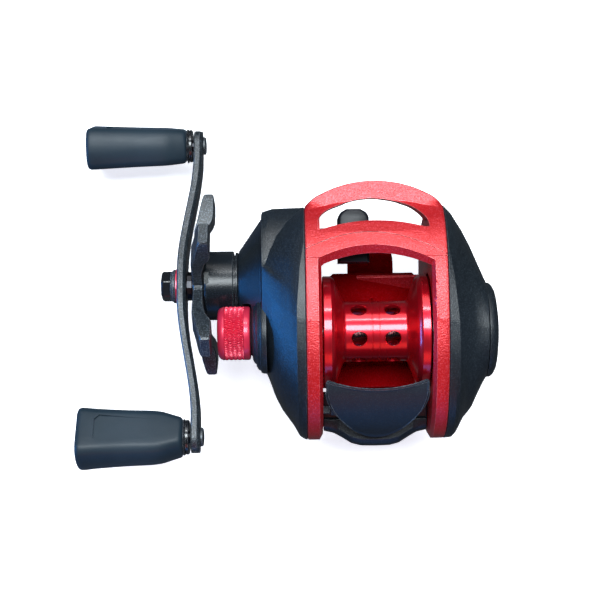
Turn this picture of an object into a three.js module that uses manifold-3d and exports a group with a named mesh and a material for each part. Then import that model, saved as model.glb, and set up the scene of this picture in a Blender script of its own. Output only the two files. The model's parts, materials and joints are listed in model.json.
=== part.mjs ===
// Low-profile baitcasting reel, left-hand retrieve, in millimetres.
// +X runs to the palm side, +Y to the rod tip, +Z away from the rod.
// The origin is the centre of the reel foot's underside.

import * as THREE from 'three';
import { mergeVertices } from 'three/addons/utils/BufferGeometryUtils.js';
import Module from 'manifold-3d';

const wasm = await Module();
wasm.setup();

// ---- driving dimensions ---------------------------------------------------

const GAP = 0.3;                 // running and seating clearance

const SPOOL_Z = 24;              // spool axis above the foot
const FLANGE_R = 17.2;           // spool flange radius
const SPOOL_HALF = 16;           // half the spool's width
const DRUM_R = 9.3;              // spool drum radius
const DRUM_HALF = 9.7;           // half the drum's width
const HOLE_R = 2.35;             // holes through the drum
const HOLE_ROWS = 6;
const HOLE_X = 5.1;              // the two columns of holes

const WALL_IN = 16.4;            // frame walls, inner face
const WALL_OUT = 21.1;           // frame walls, outer face
const PLATE_IN = WALL_OUT + GAP; // side plates start here
const SHELL = 1.7;               // side plate wall

const DRIVE_Y = 14.9;            // handle axis
const DRIVE_Z = 11.2;
const HANDLE_TILT = THREE.MathUtils.degToRad(-19.1);
const ARM_HALF = 49.05;          // knob axis from the handle axis
const REAR_ROLL = THREE.MathUtils.degToRad(-35);
const FRONT_ROLL = THREE.MathUtils.degToRad(-79);

const WORM_Y = 27;               // level-wind worm axis
const WORM_Z = 27;
const GUIDE_X = -6.35;           // line guide, where it stands at rest
const ROD_Y = 30.3;              // level-wind guide rod
const ROD_Z = 21;

const MAIN_TEETH = 63;
const PINION_TEETH = 10;
const COG_TEETH = 28;
const WORM_TEETH = 12;

const KNOB_R = 8.3;              // cast control knob
const DIAL_R = 14.6;             // brake dial
const FOOT_LENGTH = 60;
const FOOT_WIDTH = 14.7;

// ---- materials ------------------------------------------------------------

function finish(color, roughness, metalness) {
  return new THREE.MeshStandardMaterial({ color, roughness, metalness });
}

const redFrame = finish(0xc81a26, 0.38, 0.75);
const redSpool = finish(0xb8101c, 0.22, 0.95);
const redKnob = finish(0xc0283c, 0.3, 0.9);
const black = finish(0x17181a, 0.5, 0.25);
const blackMetal = finish(0x1a1a1c, 0.35, 0.8);
const navy = finish(0x171a22, 0.6, 0.1);
const rubber = finish(0x2a313c, 0.75, 0.0);
const steel = finish(0x9ea2a6, 0.3, 1.0);
const brass = finish(0xb08d45, 0.35, 1.0);
const fibre = finish(0x2b2b2b, 0.85, 0.0);
const springSteel = finish(0x70757c, 0.35, 1.0);

// ---- solids ---------------------------------------------------------------

function signedVolume(vertices, triangles) {
  let sum = 0;
  const corner = (i) => new THREE.Vector3().fromArray(vertices, 3 * i);
  for (let t = 0; t < triangles.length; t += 3) {
    const [a, b, c] = [0, 1, 2].map((k) => corner(triangles[t + k]));
    sum += a.dot(b.cross(c));
  }
  return sum / 6;
}

// A three.js geometry as a closed solid with its faces pointing out.
function solid(geometry) {
  const bare = geometry.index ? geometry.toNonIndexed() : geometry.clone();
  bare.deleteAttribute('normal');
  bare.deleteAttribute('uv');
  const merged = mergeVertices(bare, 1e-4);
  const vertices = new Float32Array(merged.attributes.position.array);
  const kept = [];
  for (let t = 0; t < merged.index.count; t += 3) {
    const [a, b, c] = [0, 1, 2].map((k) => merged.index.getX(t + k));
    if (a !== b && b !== c && c !== a) kept.push(a, b, c);
  }
  if (signedVolume(vertices, kept) < 0) kept.reverse();
  const mesh = new wasm.Mesh({
    numProp: 3,
    vertProperties: vertices,
    triVerts: new Uint32Array(kept),
  });
  return new wasm.Manifold(mesh);
}

function join(first, ...others) {
  return others.reduce((whole, other) => whole.add(other), first);
}

function cut(first, ...others) {
  return others.reduce((whole, other) => whole.subtract(other), first);
}

function block(x0, x1, y0, y1, z0, z1) {
  const geometry = new THREE.BoxGeometry(x1 - x0, y1 - y0, z1 - z0);
  geometry.translate((x0 + x1) / 2, (y0 + y1) / 2, (z0 + z1) / 2);
  return solid(geometry);
}

// Shape coordinates (y, z), extruded along X.
const ACROSS = new THREE.Matrix4().makeBasis(
  new THREE.Vector3(0, 1, 0),
  new THREE.Vector3(0, 0, 1),
  new THREE.Vector3(1, 0, 0),
);

function slab(points, x0, x1) {
  const shape = new THREE.Shape(points.map(([y, z]) => new THREE.Vector2(y, z)));
  const geometry = new THREE.ExtrudeGeometry(shape, { depth: x1 - x0, bevelEnabled: false });
  geometry.applyMatrix4(ACROSS);
  geometry.translate(x0, 0, 0);
  return solid(geometry);
}

// A plate seen from above: points (x, y), extruded along Z.
function flat(points, z0, z1) {
  const shape = new THREE.Shape(points.map(([x, y]) => new THREE.Vector2(x, y)));
  const geometry = new THREE.ExtrudeGeometry(shape, { depth: z1 - z0, bevelEnabled: false });
  geometry.translate(0, 0, z0);
  return solid(geometry);
}

// Turned about an axis parallel to X through (y, z); the profile is a list of (x, radius).
function turned(profile, y = 0, z = 0, segments = 20) {
  const points = profile.map(([x, r]) => new THREE.Vector2(r, x));
  const geometry = new THREE.LatheGeometry(points, segments);
  geometry.rotateZ(-Math.PI / 2);
  geometry.translate(0, y, z);
  return solid(geometry);
}

function rod(x0, x1, radius, y = 0, z = 0, segments = 12) {
  return turned([[x0, 0], [x0, radius], [x1, radius], [x1, 0]], y, z, segments);
}

function tube(x0, x1, inner, outer, y = 0, z = 0, segments = 14) {
  const profile = [[x0, inner], [x0, outer], [x1, outer], [x1, inner], [x0, inner]];
  return turned(profile, y, z, segments);
}

// A round bar standing along Z.
function post(x, y, z0, z1, radius, segments = 10) {
  const geometry = new THREE.CylinderGeometry(radius, radius, z1 - z0, segments);
  geometry.rotateX(Math.PI / 2);
  geometry.translate(x, y, (z0 + z1) / 2);
  return solid(geometry);
}

// A skin through rings of equal length; each ring is a list of Vector3.
function loft(rings) {
  const count = rings[0].length;
  const positions = rings.flat().flatMap((p) => [p.x, p.y, p.z]);
  const index = [];
  for (let r = 0; r + 1 < rings.length; r += 1) {
    for (let i = 0; i < count; i += 1) {
      const a = r * count + i;
      const b = r * count + ((i + 1) % count);
      index.push(a, b, a + count, b, b + count, a + count);
    }
  }
  const capEnd = (ring, offset, flip) => {
    const centre = ring.reduce((s, p) => s.add(p), new THREE.Vector3()).divideScalar(count);
    const hub = positions.length / 3;
    positions.push(centre.x, centre.y, centre.z);
    for (let i = 0; i < count; i += 1) {
      const next = offset + ((i + 1) % count);
      if (flip) index.push(hub, next, offset + i);
      else index.push(hub, offset + i, next);
    }
  };
  capEnd(rings[0], 0, true);
  capEnd(rings[rings.length - 1], (rings.length - 1) * count, false);
  const geometry = new THREE.BufferGeometry();
  geometry.setAttribute('position', new THREE.Float32BufferAttribute(positions, 3));
  geometry.setIndex(index);
  return solid(geometry);
}

// A spur gear outline about (y, z), with a tooth centred on the angle `phase`.
function gearPoints(teeth, module, phase, y, z) {
  const pitch = (teeth * module) / 2;
  const step = (2 * Math.PI) / teeth;
  const corners = [[-0.23, -1.05], [-0.09, 0.75], [0.09, 0.75], [0.23, -1.05]];
  const points = [];
  for (let t = 0; t < teeth; t += 1) {
    for (const [turn, height] of corners) {
      const angle = phase + (t + turn) * step;
      const radius = pitch + height * module;
      points.push([y + radius * Math.cos(angle), z + radius * Math.sin(angle)]);
    }
  }
  return points;
}

// ---- the scene graph ------------------------------------------------------

const reel = new THREE.Group();
const handle = new THREE.Group();
handle.position.set(0, DRIVE_Y, DRIVE_Z);
handle.rotation.x = HANDLE_TILT;
reel.add(handle);

function place(parent, name, body, material) {
  const mesh = body.getMesh();
  const geometry = new THREE.BufferGeometry();
  geometry.setAttribute('position', new THREE.BufferAttribute(mesh.vertProperties, 3));
  geometry.setIndex(new THREE.BufferAttribute(mesh.triVerts, 1));
  const node = new THREE.Mesh(geometry, material);
  node.name = name;
  parent.add(node);
  return node;
}

// ---- the side outline shared by the frame and both side plates --------------

const OUTLINE = [
  [-33.9, 16], [-31.6, 26], [-24, 35.4], [-12, 41.4], [3, 43.5], [16, 42.4], [27, 38.8],
  [35.4, 33], [38.6, 26], [38.3, 17], [36.4, 7], [31, -3], [21, -8.3], [8, -9],
  [-8, -9], [-21, -6.6], [-29.5, 1], [-33, 8],
];
const OUTLINE_STEPS = 28;
const BOX = { rear: -33.9, front: 38.6, bottom: -9, top: 43.5 };

const outlineCurve = new THREE.CatmullRomCurve3(
  OUTLINE.map(([y, z]) => new THREE.Vector3(0, y, z)),
  true,
);
const outlinePoints = outlineCurve.getSpacedPoints(OUTLINE_STEPS).slice(0, OUTLINE_STEPS);

// The outline stretched to the given limits.
function outlineAt(rear, front, bottom, top) {
  return outlinePoints.map((p) => [
    THREE.MathUtils.mapLinear(p.y, BOX.rear, BOX.front, rear, front),
    THREE.MathUtils.mapLinear(p.z, BOX.bottom, BOX.top, bottom, top),
  ]);
}

function plateRing([x, rear, front, bottom, top], inset) {
  return outlineAt(rear + inset, front - inset, bottom + inset, top - inset)
    .map(([y, z]) => new THREE.Vector3(x, y, z));
}

function plateBody(sections, inset = 0) {
  return loft(sections.map((section) => plateRing(section, inset)));
}

const wholeOutline = outlineAt(BOX.rear, BOX.front, BOX.bottom, BOX.top);

// ---- frame ----------------------------------------------------------------

// The part of the side outline that belongs to the front hood.
const HOOD_REGION = [[23.4, 60], [23.4, 34], [31, 31.8], [33.4, 22], [60, 22], [60, 60]];
const HOOD_CLEAR = HOOD_REGION.map(([y, z]) => [y - GAP, z - GAP]);

const TAB = { y0: -25, y1: -22.6, z0: 24, z1: 27 };     // thumb bar's link through the wall

const SCREW_Y = 9;                                      // foot screws

function frameWall(x0, x1) {
  return cut(slab(wholeOutline, x0, x1), slab(HOOD_CLEAR, x0 - 1, x1 + 1));
}

function buildFrame() {
  const gearWall = cut(
    frameWall(-WALL_OUT, -WALL_IN),
    rod(-30, 0, 5, 0, SPOOL_Z),
    rod(-30, -17.4, 4.3, DRIVE_Y, DRIVE_Z),
    rod(-30, 0, 2.6, WORM_Y, WORM_Z),
    block(-30, 0, TAB.y0 - 2.2, TAB.y1 + 0.5, TAB.z0 - 5, TAB.z1 + 0.6),
  );
  const palmWall = cut(
    frameWall(WALL_IN, WALL_OUT),
    rod(0, 30, FLANGE_R + 0.5, 0, SPOOL_Z, 32),
    rod(0, 19, 2.6, WORM_Y, WORM_Z),
  );
  const reach = WALL_IN + 0.2;
  const floor = flat([
    [-reach, -18.5], [reach, -18.5], [reach, 13], [13.3, 18.3], [-12.2, 18.3], [-reach, 13],
  ], 3.5, 5.7);
  const frontBar = block(-reach, reach, 28.5, 32.6, 9, 14);
  const rearBar = block(-reach, reach, -30.4, -26.6, 4, 12);
  const rodHoles = rod(-20, 20, 1.6, ROD_Y, ROD_Z, 16);
  const whole = join(gearWall, palmWall, floor, frontBar, rearBar);
  const screwHoles = [-SCREW_Y, SCREW_Y].map((y) => post(0, y, 0, 10, 1.6));
  return cut(whole, rodHoles, ...screwHoles);
}

place(reel, 'frame', buildFrame(), redFrame);

// ---- front hood: top band, shoulders and the arched front bar ---------------

function buildHood() {
  const shoulder = (x0, x1) => slab(wholeOutline, x0, x1).intersect(slab(HOOD_REGION, x0, x1));
  const reach = WALL_IN + 0.2;
  const band = slab([
    [23.6, 38.2], [23.9, 41], [28, 39.2], [33, 36.2], [33, 33.8], [28, 36.8],
  ], -reach, reach);
  const arch = flat([
    [-21.1, 35], [-21.1, 38.6], [-16.2, 40.8], [-10.8, 43.9], [-5.6, 45.4], [0, 45.6],
    [5.6, 45.2], [10.8, 43.6], [16.2, 40.6], [21.1, 38.6], [21.1, 35], [WALL_IN, 35.4],
    [13, 38.1], [8.5, 39.6], [4, 40.2], [-4, 40.2], [-8.5, 39.6], [-13, 38.1], [-WALL_IN, 35.4],
  ], 23.8, 28.4);
  const holes = rod(-30, 30, 1.6, ROD_Y, ROD_Z, 16);
  const body = join(shoulder(-WALL_OUT, -WALL_IN), shoulder(WALL_IN, WALL_OUT), band, arch);
  return cut(body, holes);
}

place(reel, 'front_hood', buildHood(), redFrame);

// ---- reel foot --------------------------------------------------------------

function buildFoot() {
  const half = FOOT_WIDTH / 2;
  const end = FOOT_LENGTH / 2;
  const side = [[-end, 0], [end, 0], [end, 1.2], [12, 3.2], [-12, 3.2], [-end, 1.2]];
  const plan = flat([
    [-half, -22], [-half + 3, -end], [half - 3, -end], [half, -22],
    [half, 22], [half - 3, end], [-half + 3, end], [-half, 22],
  ], -1, 5);
  const holes = [-SCREW_Y, SCREW_Y].flatMap((y) => [
    post(0, y, -1, 5, 1.6),
    post(0, y, -1, 1.3, 3),
  ]);
  return cut(slab(side, -half, half).intersect(plan), ...holes);
}

place(reel, 'reel_foot', buildFoot(), redFrame);

for (const [name, y] of [['foot_screw_front', SCREW_Y], ['foot_screw_rear', -SCREW_Y]]) {
  const screw = join(post(0, y, 0.3, 5.6, 1.3), post(0, y, 0.3, 1.1, 2.7));
  place(reel, name, screw, steel);
}

// ---- rear rest under the thumb bar -------------------------------------------

function buildRearCover() {
  const profile = [[-29.6, 18.8], [-33.6, 18.6], [-36.2, 16], [-35.2, 12.3], [-29.6, 12.3]];
  const reach = WALL_IN - GAP;
  const plan = flat([
    [-reach, -29], [-reach, -31.6], [-11, -34.6], [-5, -36.2], [5, -36.2],
    [11, -34.6], [reach, -31.6], [reach, -29],
  ], 0, 40);
  return slab(profile, -reach, reach).intersect(plan);
}

place(reel, 'rear_cover', buildRearCover(), black);

// ---- gear side plate ----------------------------------------------------------

// x, rear, front, bottom, top of each section, from the frame outward.
const GEAR_SECTIONS = [
  [-PLATE_IN, -33.8, 38.6, -9, 43.4],
  [-23.7, -32.4, 38.6, -9, 42.4],
  [-26.4, -27.7, 38.6, -9, 40.4],
  [-29, -24.2, 38.6, -8.8, 38.4],
  [-32.4, -16, 38.5, -8.2, 35.4],
  [-34.4, -11.6, 36, -5.5, 33],
];
const BEARING_R = 5;             // gear-side spool bearing
const TOWER_R = 11.6;
const CLUTCH_R = 7.5;            // one-way bearing

function buildGearPlate() {
  const outside = plateBody(GEAR_SECTIONS);
  const [rim, , waist] = GEAR_SECTIONS;
  const hollow = plateBody([[-20, ...rim.slice(1)], waist, [-32.5, -15, 38.4, -8.6, 34.6]], SHELL);
  const knobDome = turned([[-33, 0], [-33, 11], [-35.4, 9.4], [-36.6, 8.4], [-37.9, 7],
    [-37.9, 5.9], [-40, 5.9], [-40, 0]], 0, SPOOL_Z);
  const cone = turned([[-33, 0], [-33, 21], [-34.4, 20.8], [-41.6, TOWER_R], [-41.9, TOWER_R - 0.5],
    [-41.9, 0]], DRIVE_Y, DRIVE_Z, 28);
  const tower = cone.intersect(slab(outlineAt(-14, 38.4, -8.2, 35.4), -43, -32));
  const knobRoom = tube(-43, -38.1, 5.9, KNOB_R + 0.4, 0, SPOOL_Z, 20);
  const screws = GEAR_SCREWS.map(([y, z]) => rod(-40, -26, 1.5, y, z, 8));
  const heads = GEAR_SCREWS.map(([y, z]) => rod(-40, -31.3, 2.6, y, z, 8));
  const screwPosts = GEAR_SCREWS.map(([y, z]) => rod(-33, -PLATE_IN, 2.7, y, z, 8));
  return cut(
    join(outside, tower, knobDome),
    knobRoom,
    cut(hollow, ...screwPosts),
    rod(-50, -30, BEARING_R + 0.2, 0, SPOOL_Z, 14),
    rod(-50, -30, CLUTCH_R + 0.2, DRIVE_Y, DRIVE_Z, 14),
    ...screws,
    ...heads,
  );
}

const GEAR_SCREWS = [[35, 15.5], [0, -4.2], [-12, 12]];

place(reel, 'gear_side_plate', buildGearPlate(), black);

GEAR_SCREWS.forEach(([y, z], i) => {
  const screw = join(rod(-32.5, -26, 1.2, y, z, 8), rod(-32.6, -31.6, 2.3, y, z, 8));
  place(reel, `gear_plate_screw_${i + 1}`, screw, blackMetal);
});

function buildTower() {
  return turned([
    [-42.2, 4.6], [-42.2, 10.2], [-43.4, 10.2], [-43.7, 10.9], [-52.2, 10.9], [-52.7, 10.5],
    [-52.7, 7.7], [-48, 7.7], [-48, 4.6], [-42.2, 4.6],
  ], DRIVE_Y, DRIVE_Z, 20);
}

place(reel, 'handle_tower', buildTower(), blackMetal);
place(reel, 'one_way_bearing', tube(-41.2, -34.6, 4.3, CLUTCH_R, DRIVE_Y, DRIVE_Z), steel);
place(reel, 'handle_bearing', tube(-52.2, -48.3, 4.3, 7.4, DRIVE_Y, DRIVE_Z), steel);
place(reel, 'drive_shaft_bearing', tube(-20.8, -17.7, 2.8, 4.1, DRIVE_Y, DRIVE_Z), steel);
place(reel, 'spool_bearing_gear', tube(-36.6, -33.6, 1.8, BEARING_R, 0, SPOOL_Z), steel);

// ---- palm side plate ------------------------------------------------------------

const PALM_SECTIONS = [
  [PLATE_IN, -33.8, 38.6, -9, 43.4],
  [24.3, -32.5, 35.6, -8, 42.4],
  [26.8, -28.4, 31.2, -5.6, 41.6],
  [29.4, -24.8, 25.8, -2, 40.8],
  [31.1, -20.5, 21.2, 2.6, 40.1],
  [33.3, -15.3, 15.3, 8.8, 39.2],
];
const HUB_R = 5.2;               // palm bearing tube
const PALM_SCREWS = [[20, 3], [-18, 3]];

function buildPalmPlate() {
  const [rim, , waist, , shoulder] = PALM_SECTIONS;
  const hollow = cut(
    plateBody([[20, ...rim.slice(1)], waist, shoulder], SHELL),
    rod(10, 40, HUB_R, 0, SPOOL_Z),
    ...PALM_SCREWS.map(([y, z]) => rod(PLATE_IN, 40, 2.7, y, z, 8)),
  );
  const body = join(plateBody(PALM_SECTIONS), rod(17.8, 33, HUB_R, 0, SPOOL_Z));
  return cut(
    body,
    hollow,
    rod(0, 40, 4.2, 0, SPOOL_Z),
    ...PALM_SCREWS.map(([y, z]) => rod(0, 40, 1.5, y, z, 8)),
    ...PALM_SCREWS.map(([y, z]) => rod(26.4, 40, 2.6, y, z, 8)),
  );
}

place(reel, 'palm_side_plate', buildPalmPlate(), black);

PALM_SCREWS.forEach(([y, z], i) => {
  const screw = join(rod(22, 27, 1.2, y, z, 8), rod(26.7, 27.6, 2.3, y, z, 8));
  place(reel, `palm_plate_screw_${i + 1}`, screw, blackMetal);
});

place(reel, 'spool_bearing_palm', tube(18.3, 20.8, 1.8, 4, 0, SPOOL_Z), steel);

function buildDial() {
  return turned([
    [24, 0], [24, 3.8], [33.6, 3.8], [33.6, DIAL_R], [34.8, DIAL_R], [35.9, 13.2], [36.8, 9.6],
    [37.4, 4.6], [37.6, 0],
  ], 0, SPOOL_Z, 24);
}

place(reel, 'brake_dial', buildDial(), black);
place(reel, 'brake_magnet_ring', tube(17.2, 20, 5.6, 8.8, 0, SPOOL_Z), steel);

// ---- spool ----------------------------------------------------------------------

function buildSpool() {
  const half = [[DRUM_HALF, DRUM_R], [12.3, 15.8], [13.4, FLANGE_R], [SPOOL_HALF, FLANGE_R],
    [SPOOL_HALF, 15.9], [13.9, 15.3], [11.2, 8.1], [2, 8.1], [2, 2.3]];
  const mirrored = half.map(([x, r]) => [-x, r]).reverse();
  const body = turned([...half, ...mirrored, half[0]], 0, SPOOL_Z, 28);
  const holes = [];
  for (let row = 0; row < HOLE_ROWS; row += 1) {
    const lean = (row * 2 * Math.PI) / HOLE_ROWS + THREE.MathUtils.degToRad(47);
    for (const x of [-HOLE_X, HOLE_X]) {
      const drill = new THREE.CylinderGeometry(HOLE_R, HOLE_R, 6, 6);
      drill.rotateX(Math.PI / 2);
      drill.translate(x, 0, DRUM_R);
      drill.rotateX(-lean);
      drill.translate(0, 0, SPOOL_Z);
      holes.push(solid(drill));
    }
  }
  return cut(body, ...holes);
}

place(reel, 'spool', buildSpool(), redSpool);
place(reel, 'spool_shaft', turned([
  [-40, 0], [-40, 1.4], [-14, 1.4], [-14, 2], [14, 2], [14, 1.4], [22.4, 1.4], [22.4, 0],
], 0, SPOOL_Z, 12), steel);
place(reel, 'brake_cup', turned([
  [12, 2.4], [12, 10.2], [15.8, 10.2], [15.8, 9.4], [12.6, 9.4], [12.6, 2.4], [12, 2.4],
], 0, SPOOL_Z, 16), steel);

// ---- cast control knob --------------------------------------------------------------

function buildTensionKnob() {
  const knob = turned([[-48.3, 0], [-48.3, 7.4], [-47.6, KNOB_R], [-38.7, KNOB_R], [-38.2, 7.7],
    [-38.2, 0]], 0, SPOOL_Z, 24);
  return cut(knob, rod(-41.3, -30, 6.2, 0, SPOOL_Z));
}

place(reel, 'tension_knob', buildTensionKnob(), redKnob);
place(reel, 'tension_disc', rod(-41, -40.3, 5.8, 0, SPOOL_Z), fibre);

// ---- gear train ------------------------------------------------------------------------

const toPinion = Math.atan2(SPOOL_Z - DRIVE_Z, -DRIVE_Y);
const toWorm = Math.atan2(WORM_Z - DRIVE_Z, WORM_Y - DRIVE_Y);
const pinionModule = (2 * Math.hypot(DRIVE_Y, SPOOL_Z - DRIVE_Z)) / (MAIN_TEETH + PINION_TEETH);
const wormModule = (2 * Math.hypot(WORM_Y - DRIVE_Y, WORM_Z - DRIVE_Z)) / (COG_TEETH + WORM_TEETH);

// A tooth of one gear faces a gap of the other.
function facing(angle, teeth) {
  return angle + Math.PI + Math.PI / teeth;
}

const DRAG_R = 12;
const SHAFT_R = 2.5;

function buildMainGear() {
  const blank = slab(gearPoints(MAIN_TEETH, pinionModule, toPinion, DRIVE_Y, DRIVE_Z), -30, -26.2);
  const pocket = rod(-40, -27.6, DRAG_R + 0.4, DRIVE_Y, DRIVE_Z, 20);
  return cut(blank, pocket, rod(-40, -20, SHAFT_R + GAP, DRIVE_Y, DRIVE_Z));
}

function buildPinion() {
  const teeth = gearPoints(PINION_TEETH, pinionModule, facing(toPinion, PINION_TEETH), 0, SPOOL_Z);
  const neck = turned([[-25, 0], [-25, 2.3], [-22.2, 2.3], [-22.2, 3.1], [-21, 3.1], [-21, 0]],
    0, SPOOL_Z, 20);
  return cut(join(slab(teeth, -31.4, -24.7), neck), rod(-40, 0, 1.7, 0, SPOOL_Z, 16));
}

place(reel, 'main_gear', buildMainGear(), brass);
place(reel, 'pinion_gear', buildPinion(), brass);
place(reel, 'drive_cog', cut(
  slab(gearPoints(COG_TEETH, wormModule, toWorm, DRIVE_Y, DRIVE_Z), -23.8, -22.2),
  rod(-30, 0, SHAFT_R + GAP, DRIVE_Y, DRIVE_Z),
), navy);
place(reel, 'worm_cog', cut(
  slab(gearPoints(WORM_TEETH, wormModule, facing(toWorm, WORM_TEETH), WORM_Y, WORM_Z), -23.9, -22.1),
  rod(-30, 0, 1.5, WORM_Y, WORM_Z),
), navy);

place(reel, 'drive_shaft', turned([
  [-66, 0], [-66, SHAFT_R], [-25.8, SHAFT_R], [-25.8, 6], [-24.2, 6], [-24.2, SHAFT_R],
  [-17.8, SHAFT_R], [-17.8, 0],
], DRIVE_Y, DRIVE_Z), steel);

const DRAG_STACK = [
  ['drag_washer_inner', -28.2, -27.8, DRAG_R, fibre],
  ['drag_key_washer', -28.9, -28.4, DRAG_R, steel],
  ['drag_washer_outer', -29.5, -29.1, DRAG_R, fibre],
  ['drag_pressure_plate', -31.1, -29.8, DRAG_R - 0.4, steel],
  ['drag_spring_washer', -32.3, -31.4, 6, springSteel],
];
for (const [name, x0, x1, radius, material] of DRAG_STACK) {
  place(reel, name, tube(x0, x1, SHAFT_R + GAP, radius, DRIVE_Y, DRIVE_Z), material);
}
place(reel, 'clutch_sleeve', tube(-52.6, -32.6, SHAFT_R + GAP, 4, DRIVE_Y, DRIVE_Z), steel);

// ---- clutch -------------------------------------------------------------------------------

const POST_REACH = 8.5;
const acrossMesh = toPinion - Math.PI / 2;
const yokeDirection = [Math.cos(acrossMesh), Math.sin(acrossMesh)];

function onYoke(along, side = 0) {
  const [c, s] = yokeDirection;
  return [along * c - side * s, SPOOL_Z + along * s + side * c];
}

function buildYoke() {
  const half = POST_REACH + 2.4;
  const plan = [onYoke(-half, -2.2), onYoke(half, -2.2), onYoke(half, 2.2), onYoke(3.4, 3.6),
    onYoke(-3.4, 3.6), onYoke(-half, 2.2)];
  const holes = [-POST_REACH, POST_REACH].map((a) => rod(-40, 0, 1.4, ...onYoke(a), 8));
  return cut(slab(plan, -23.8, -22.5), rod(-40, 0, 2.65, 0, SPOOL_Z, 12), ...holes);
}

place(reel, 'clutch_yoke', buildYoke(), blackMetal);
for (const [side, along] of [['upper', POST_REACH], ['lower', -POST_REACH]]) {
  place(reel, `yoke_post_${side}`, rod(-31.8, -PLATE_IN, 1, ...onYoke(along), 8), steel);
  place(reel, `yoke_spring_${side}`, tube(-31.6, -24.1, 1.3, 2.1, ...onYoke(along), 10), springSteel);
}

function buildThumbBar() {
  const profile = [
    [-14.4, 37.6], [-14.7, 38.8], [-19, 37.9], [-24, 35.2], [-28.6, 30.8], [-31.6, 26],
    [-32.4, 23.6], [-30, 23.2], [-28.6, 26.4], [-25.4, 30.4], [-21, 34], [-17, 36],
  ];
  const edge = WALL_IN - 1.3;
  const plan = flat([
    [-edge, -13], [-edge, -19], [-13.6, -22.4], [-10.5, -26.6], [-6, -30.2], [0, -33],
    [6, -30.2], [10.5, -26.6], [13.6, -22.4], [edge, -19], [edge, -13], [7.6, -15.9], [0, -16.8],
    [-7.6, -15.9],
  ], 0, 60);
  const crown = slab(profile, -edge, edge).intersect(plan);
  const carrier = slab([[-21.5, 34.4], [-25.4, 31.4], [-25.4, TAB.z0], [-22.6, TAB.z0]], -14.2, 13);
  const tab = block(-22.2, -13.9, TAB.y0, TAB.y1, TAB.z0, TAB.z1);
  return join(crown, carrier, tab);
}

place(reel, 'thumb_bar', buildThumbBar(), navy);

function buildCam() {
  const plan = [[-25.6, 22], [-8.5, 22], [-8.5, 31.2], [3, 31.2], [3, 33.6], [-12, 33.6],
    [-20, 30.6], [-25.6, 28]];
  const socket = block(-30, 0, TAB.y0 - GAP, TAB.y1 + GAP, TAB.z0 - GAP, TAB.z1 + GAP);
  return cut(slab(plan, -22.2, -PLATE_IN), socket);
}

place(reel, 'clutch_cam', buildCam(), blackMetal);

// ---- level wind -----------------------------------------------------------------------------

place(reel, 'worm_shaft', turned([
  [-25, 0], [-25, 1.2], [-21.9, 1.2], [-21.9, 2.3], [18.6, 2.3], [18.6, 0],
], WORM_Y, WORM_Z, 20), steel);
place(reel, 'guide_rod', rod(-19.8, 19.8, 1.3, ROD_Y, ROD_Z, 16), steel);

const GUIDE_HALF = 4.7;

function buildLineGuide() {
  const side = [[21, 24.2], [21, 29.8], [24, 31.8], [33.6, 31.8], [36.2, 30.6], [37.4, 28.6],
    [37.4, 24.5], [33, 18.6], [28.2, 18.6], [24.8, 21]];
  const plan = flat([
    [-GUIDE_HALF, 20], [GUIDE_HALF, 20], [GUIDE_HALF, 34.4], [2.9, 37.5], [-2.9, 37.5],
    [-GUIDE_HALF, 34.4],
  ].map(([x, y]) => [GUIDE_X + x, y]), 0, 60);
  const body = slab(side, GUIDE_X - GUIDE_HALF, GUIDE_X + GUIDE_HALF).intersect(plan);
  return cut(
    body,
    rod(-40, 40, 2.6, WORM_Y, WORM_Z, 20),
    rod(-40, 40, 1.6, ROD_Y, ROD_Z, 16),
    block(GUIDE_X - 2.7, GUIDE_X + 2.7, 31, 50, 23.4, 30),
    post(GUIDE_X, WORM_Y, 22, 25, 1.95),
  );
}

place(reel, 'line_guide', buildLineGuide(), black);

function buildGuideRing() {
  const outer = block(GUIDE_X - 2.4, GUIDE_X + 2.4, 31.5, 37.2, 23.7, 29.7);
  return cut(outer, block(GUIDE_X - 1.3, GUIDE_X + 1.3, 30, 40, 24.8, 28.7));
}

place(reel, 'guide_ring', buildGuideRing(), steel);
place(reel, 'pawl', post(GUIDE_X, WORM_Y, 22.2, 24.3, 1.6), brass);

// ---- handle, star drag and knobs --------------------------------------------------------------

// Across the arm at distance `along` from the handle axis: x of the mid-plane, width.
function armAt(along) {
  const share = Math.min(1, Math.abs(along) / ARM_HALF);
  const bend = THREE.MathUtils.smoothstep(share, 0.16, 0.97);
  return { x: -60.1 + 4.7 * bend, width: 13 - 3.2 * Math.sin(Math.PI * Math.min(share, 0.98)) };
}

const ARM_THICK = 2.7;

function buildArm() {
  const rings = [];
  const reach = ARM_HALF + 4.8;
  const steps = 18;
  for (let i = 0; i <= steps; i += 1) {
    const along = -reach + (2 * reach * i) / steps;
    const { x, width } = armAt(along);
    const past = Math.max(0, Math.abs(along) - ARM_HALF) / 4.8;
    const half = (width / 2) * Math.sqrt(1.02 - past * past * 0.8);
    const edge = ARM_THICK / 2;
    const rim = 0.5;
    rings.push([
      [-edge, -half + rim], [-edge, half - rim], [-edge + rim, half], [edge - rim, half],
      [edge, half - rim], [edge, -half + rim], [edge - rim, -half], [-edge + rim, -half],
    ].map(([dx, z]) => new THREE.Vector3(x + dx, along, z)));
  }
  const bores = [-ARM_HALF, ARM_HALF].map((y) => rod(-80, -40, 2.3, y, 0, 16));
  return cut(loft(rings), rod(-80, -40, SHAFT_R + GAP, 0, 0), ...bores);
}

place(handle, 'handle_arm', buildArm(), blackMetal);
place(handle, 'nut_washer', tube(-62, -61.65, SHAFT_R + GAP, 5.6), redKnob);
place(handle, 'star_spring', tube(-58.4, -57, SHAFT_R + GAP, 4.6), springSteel);

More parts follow.
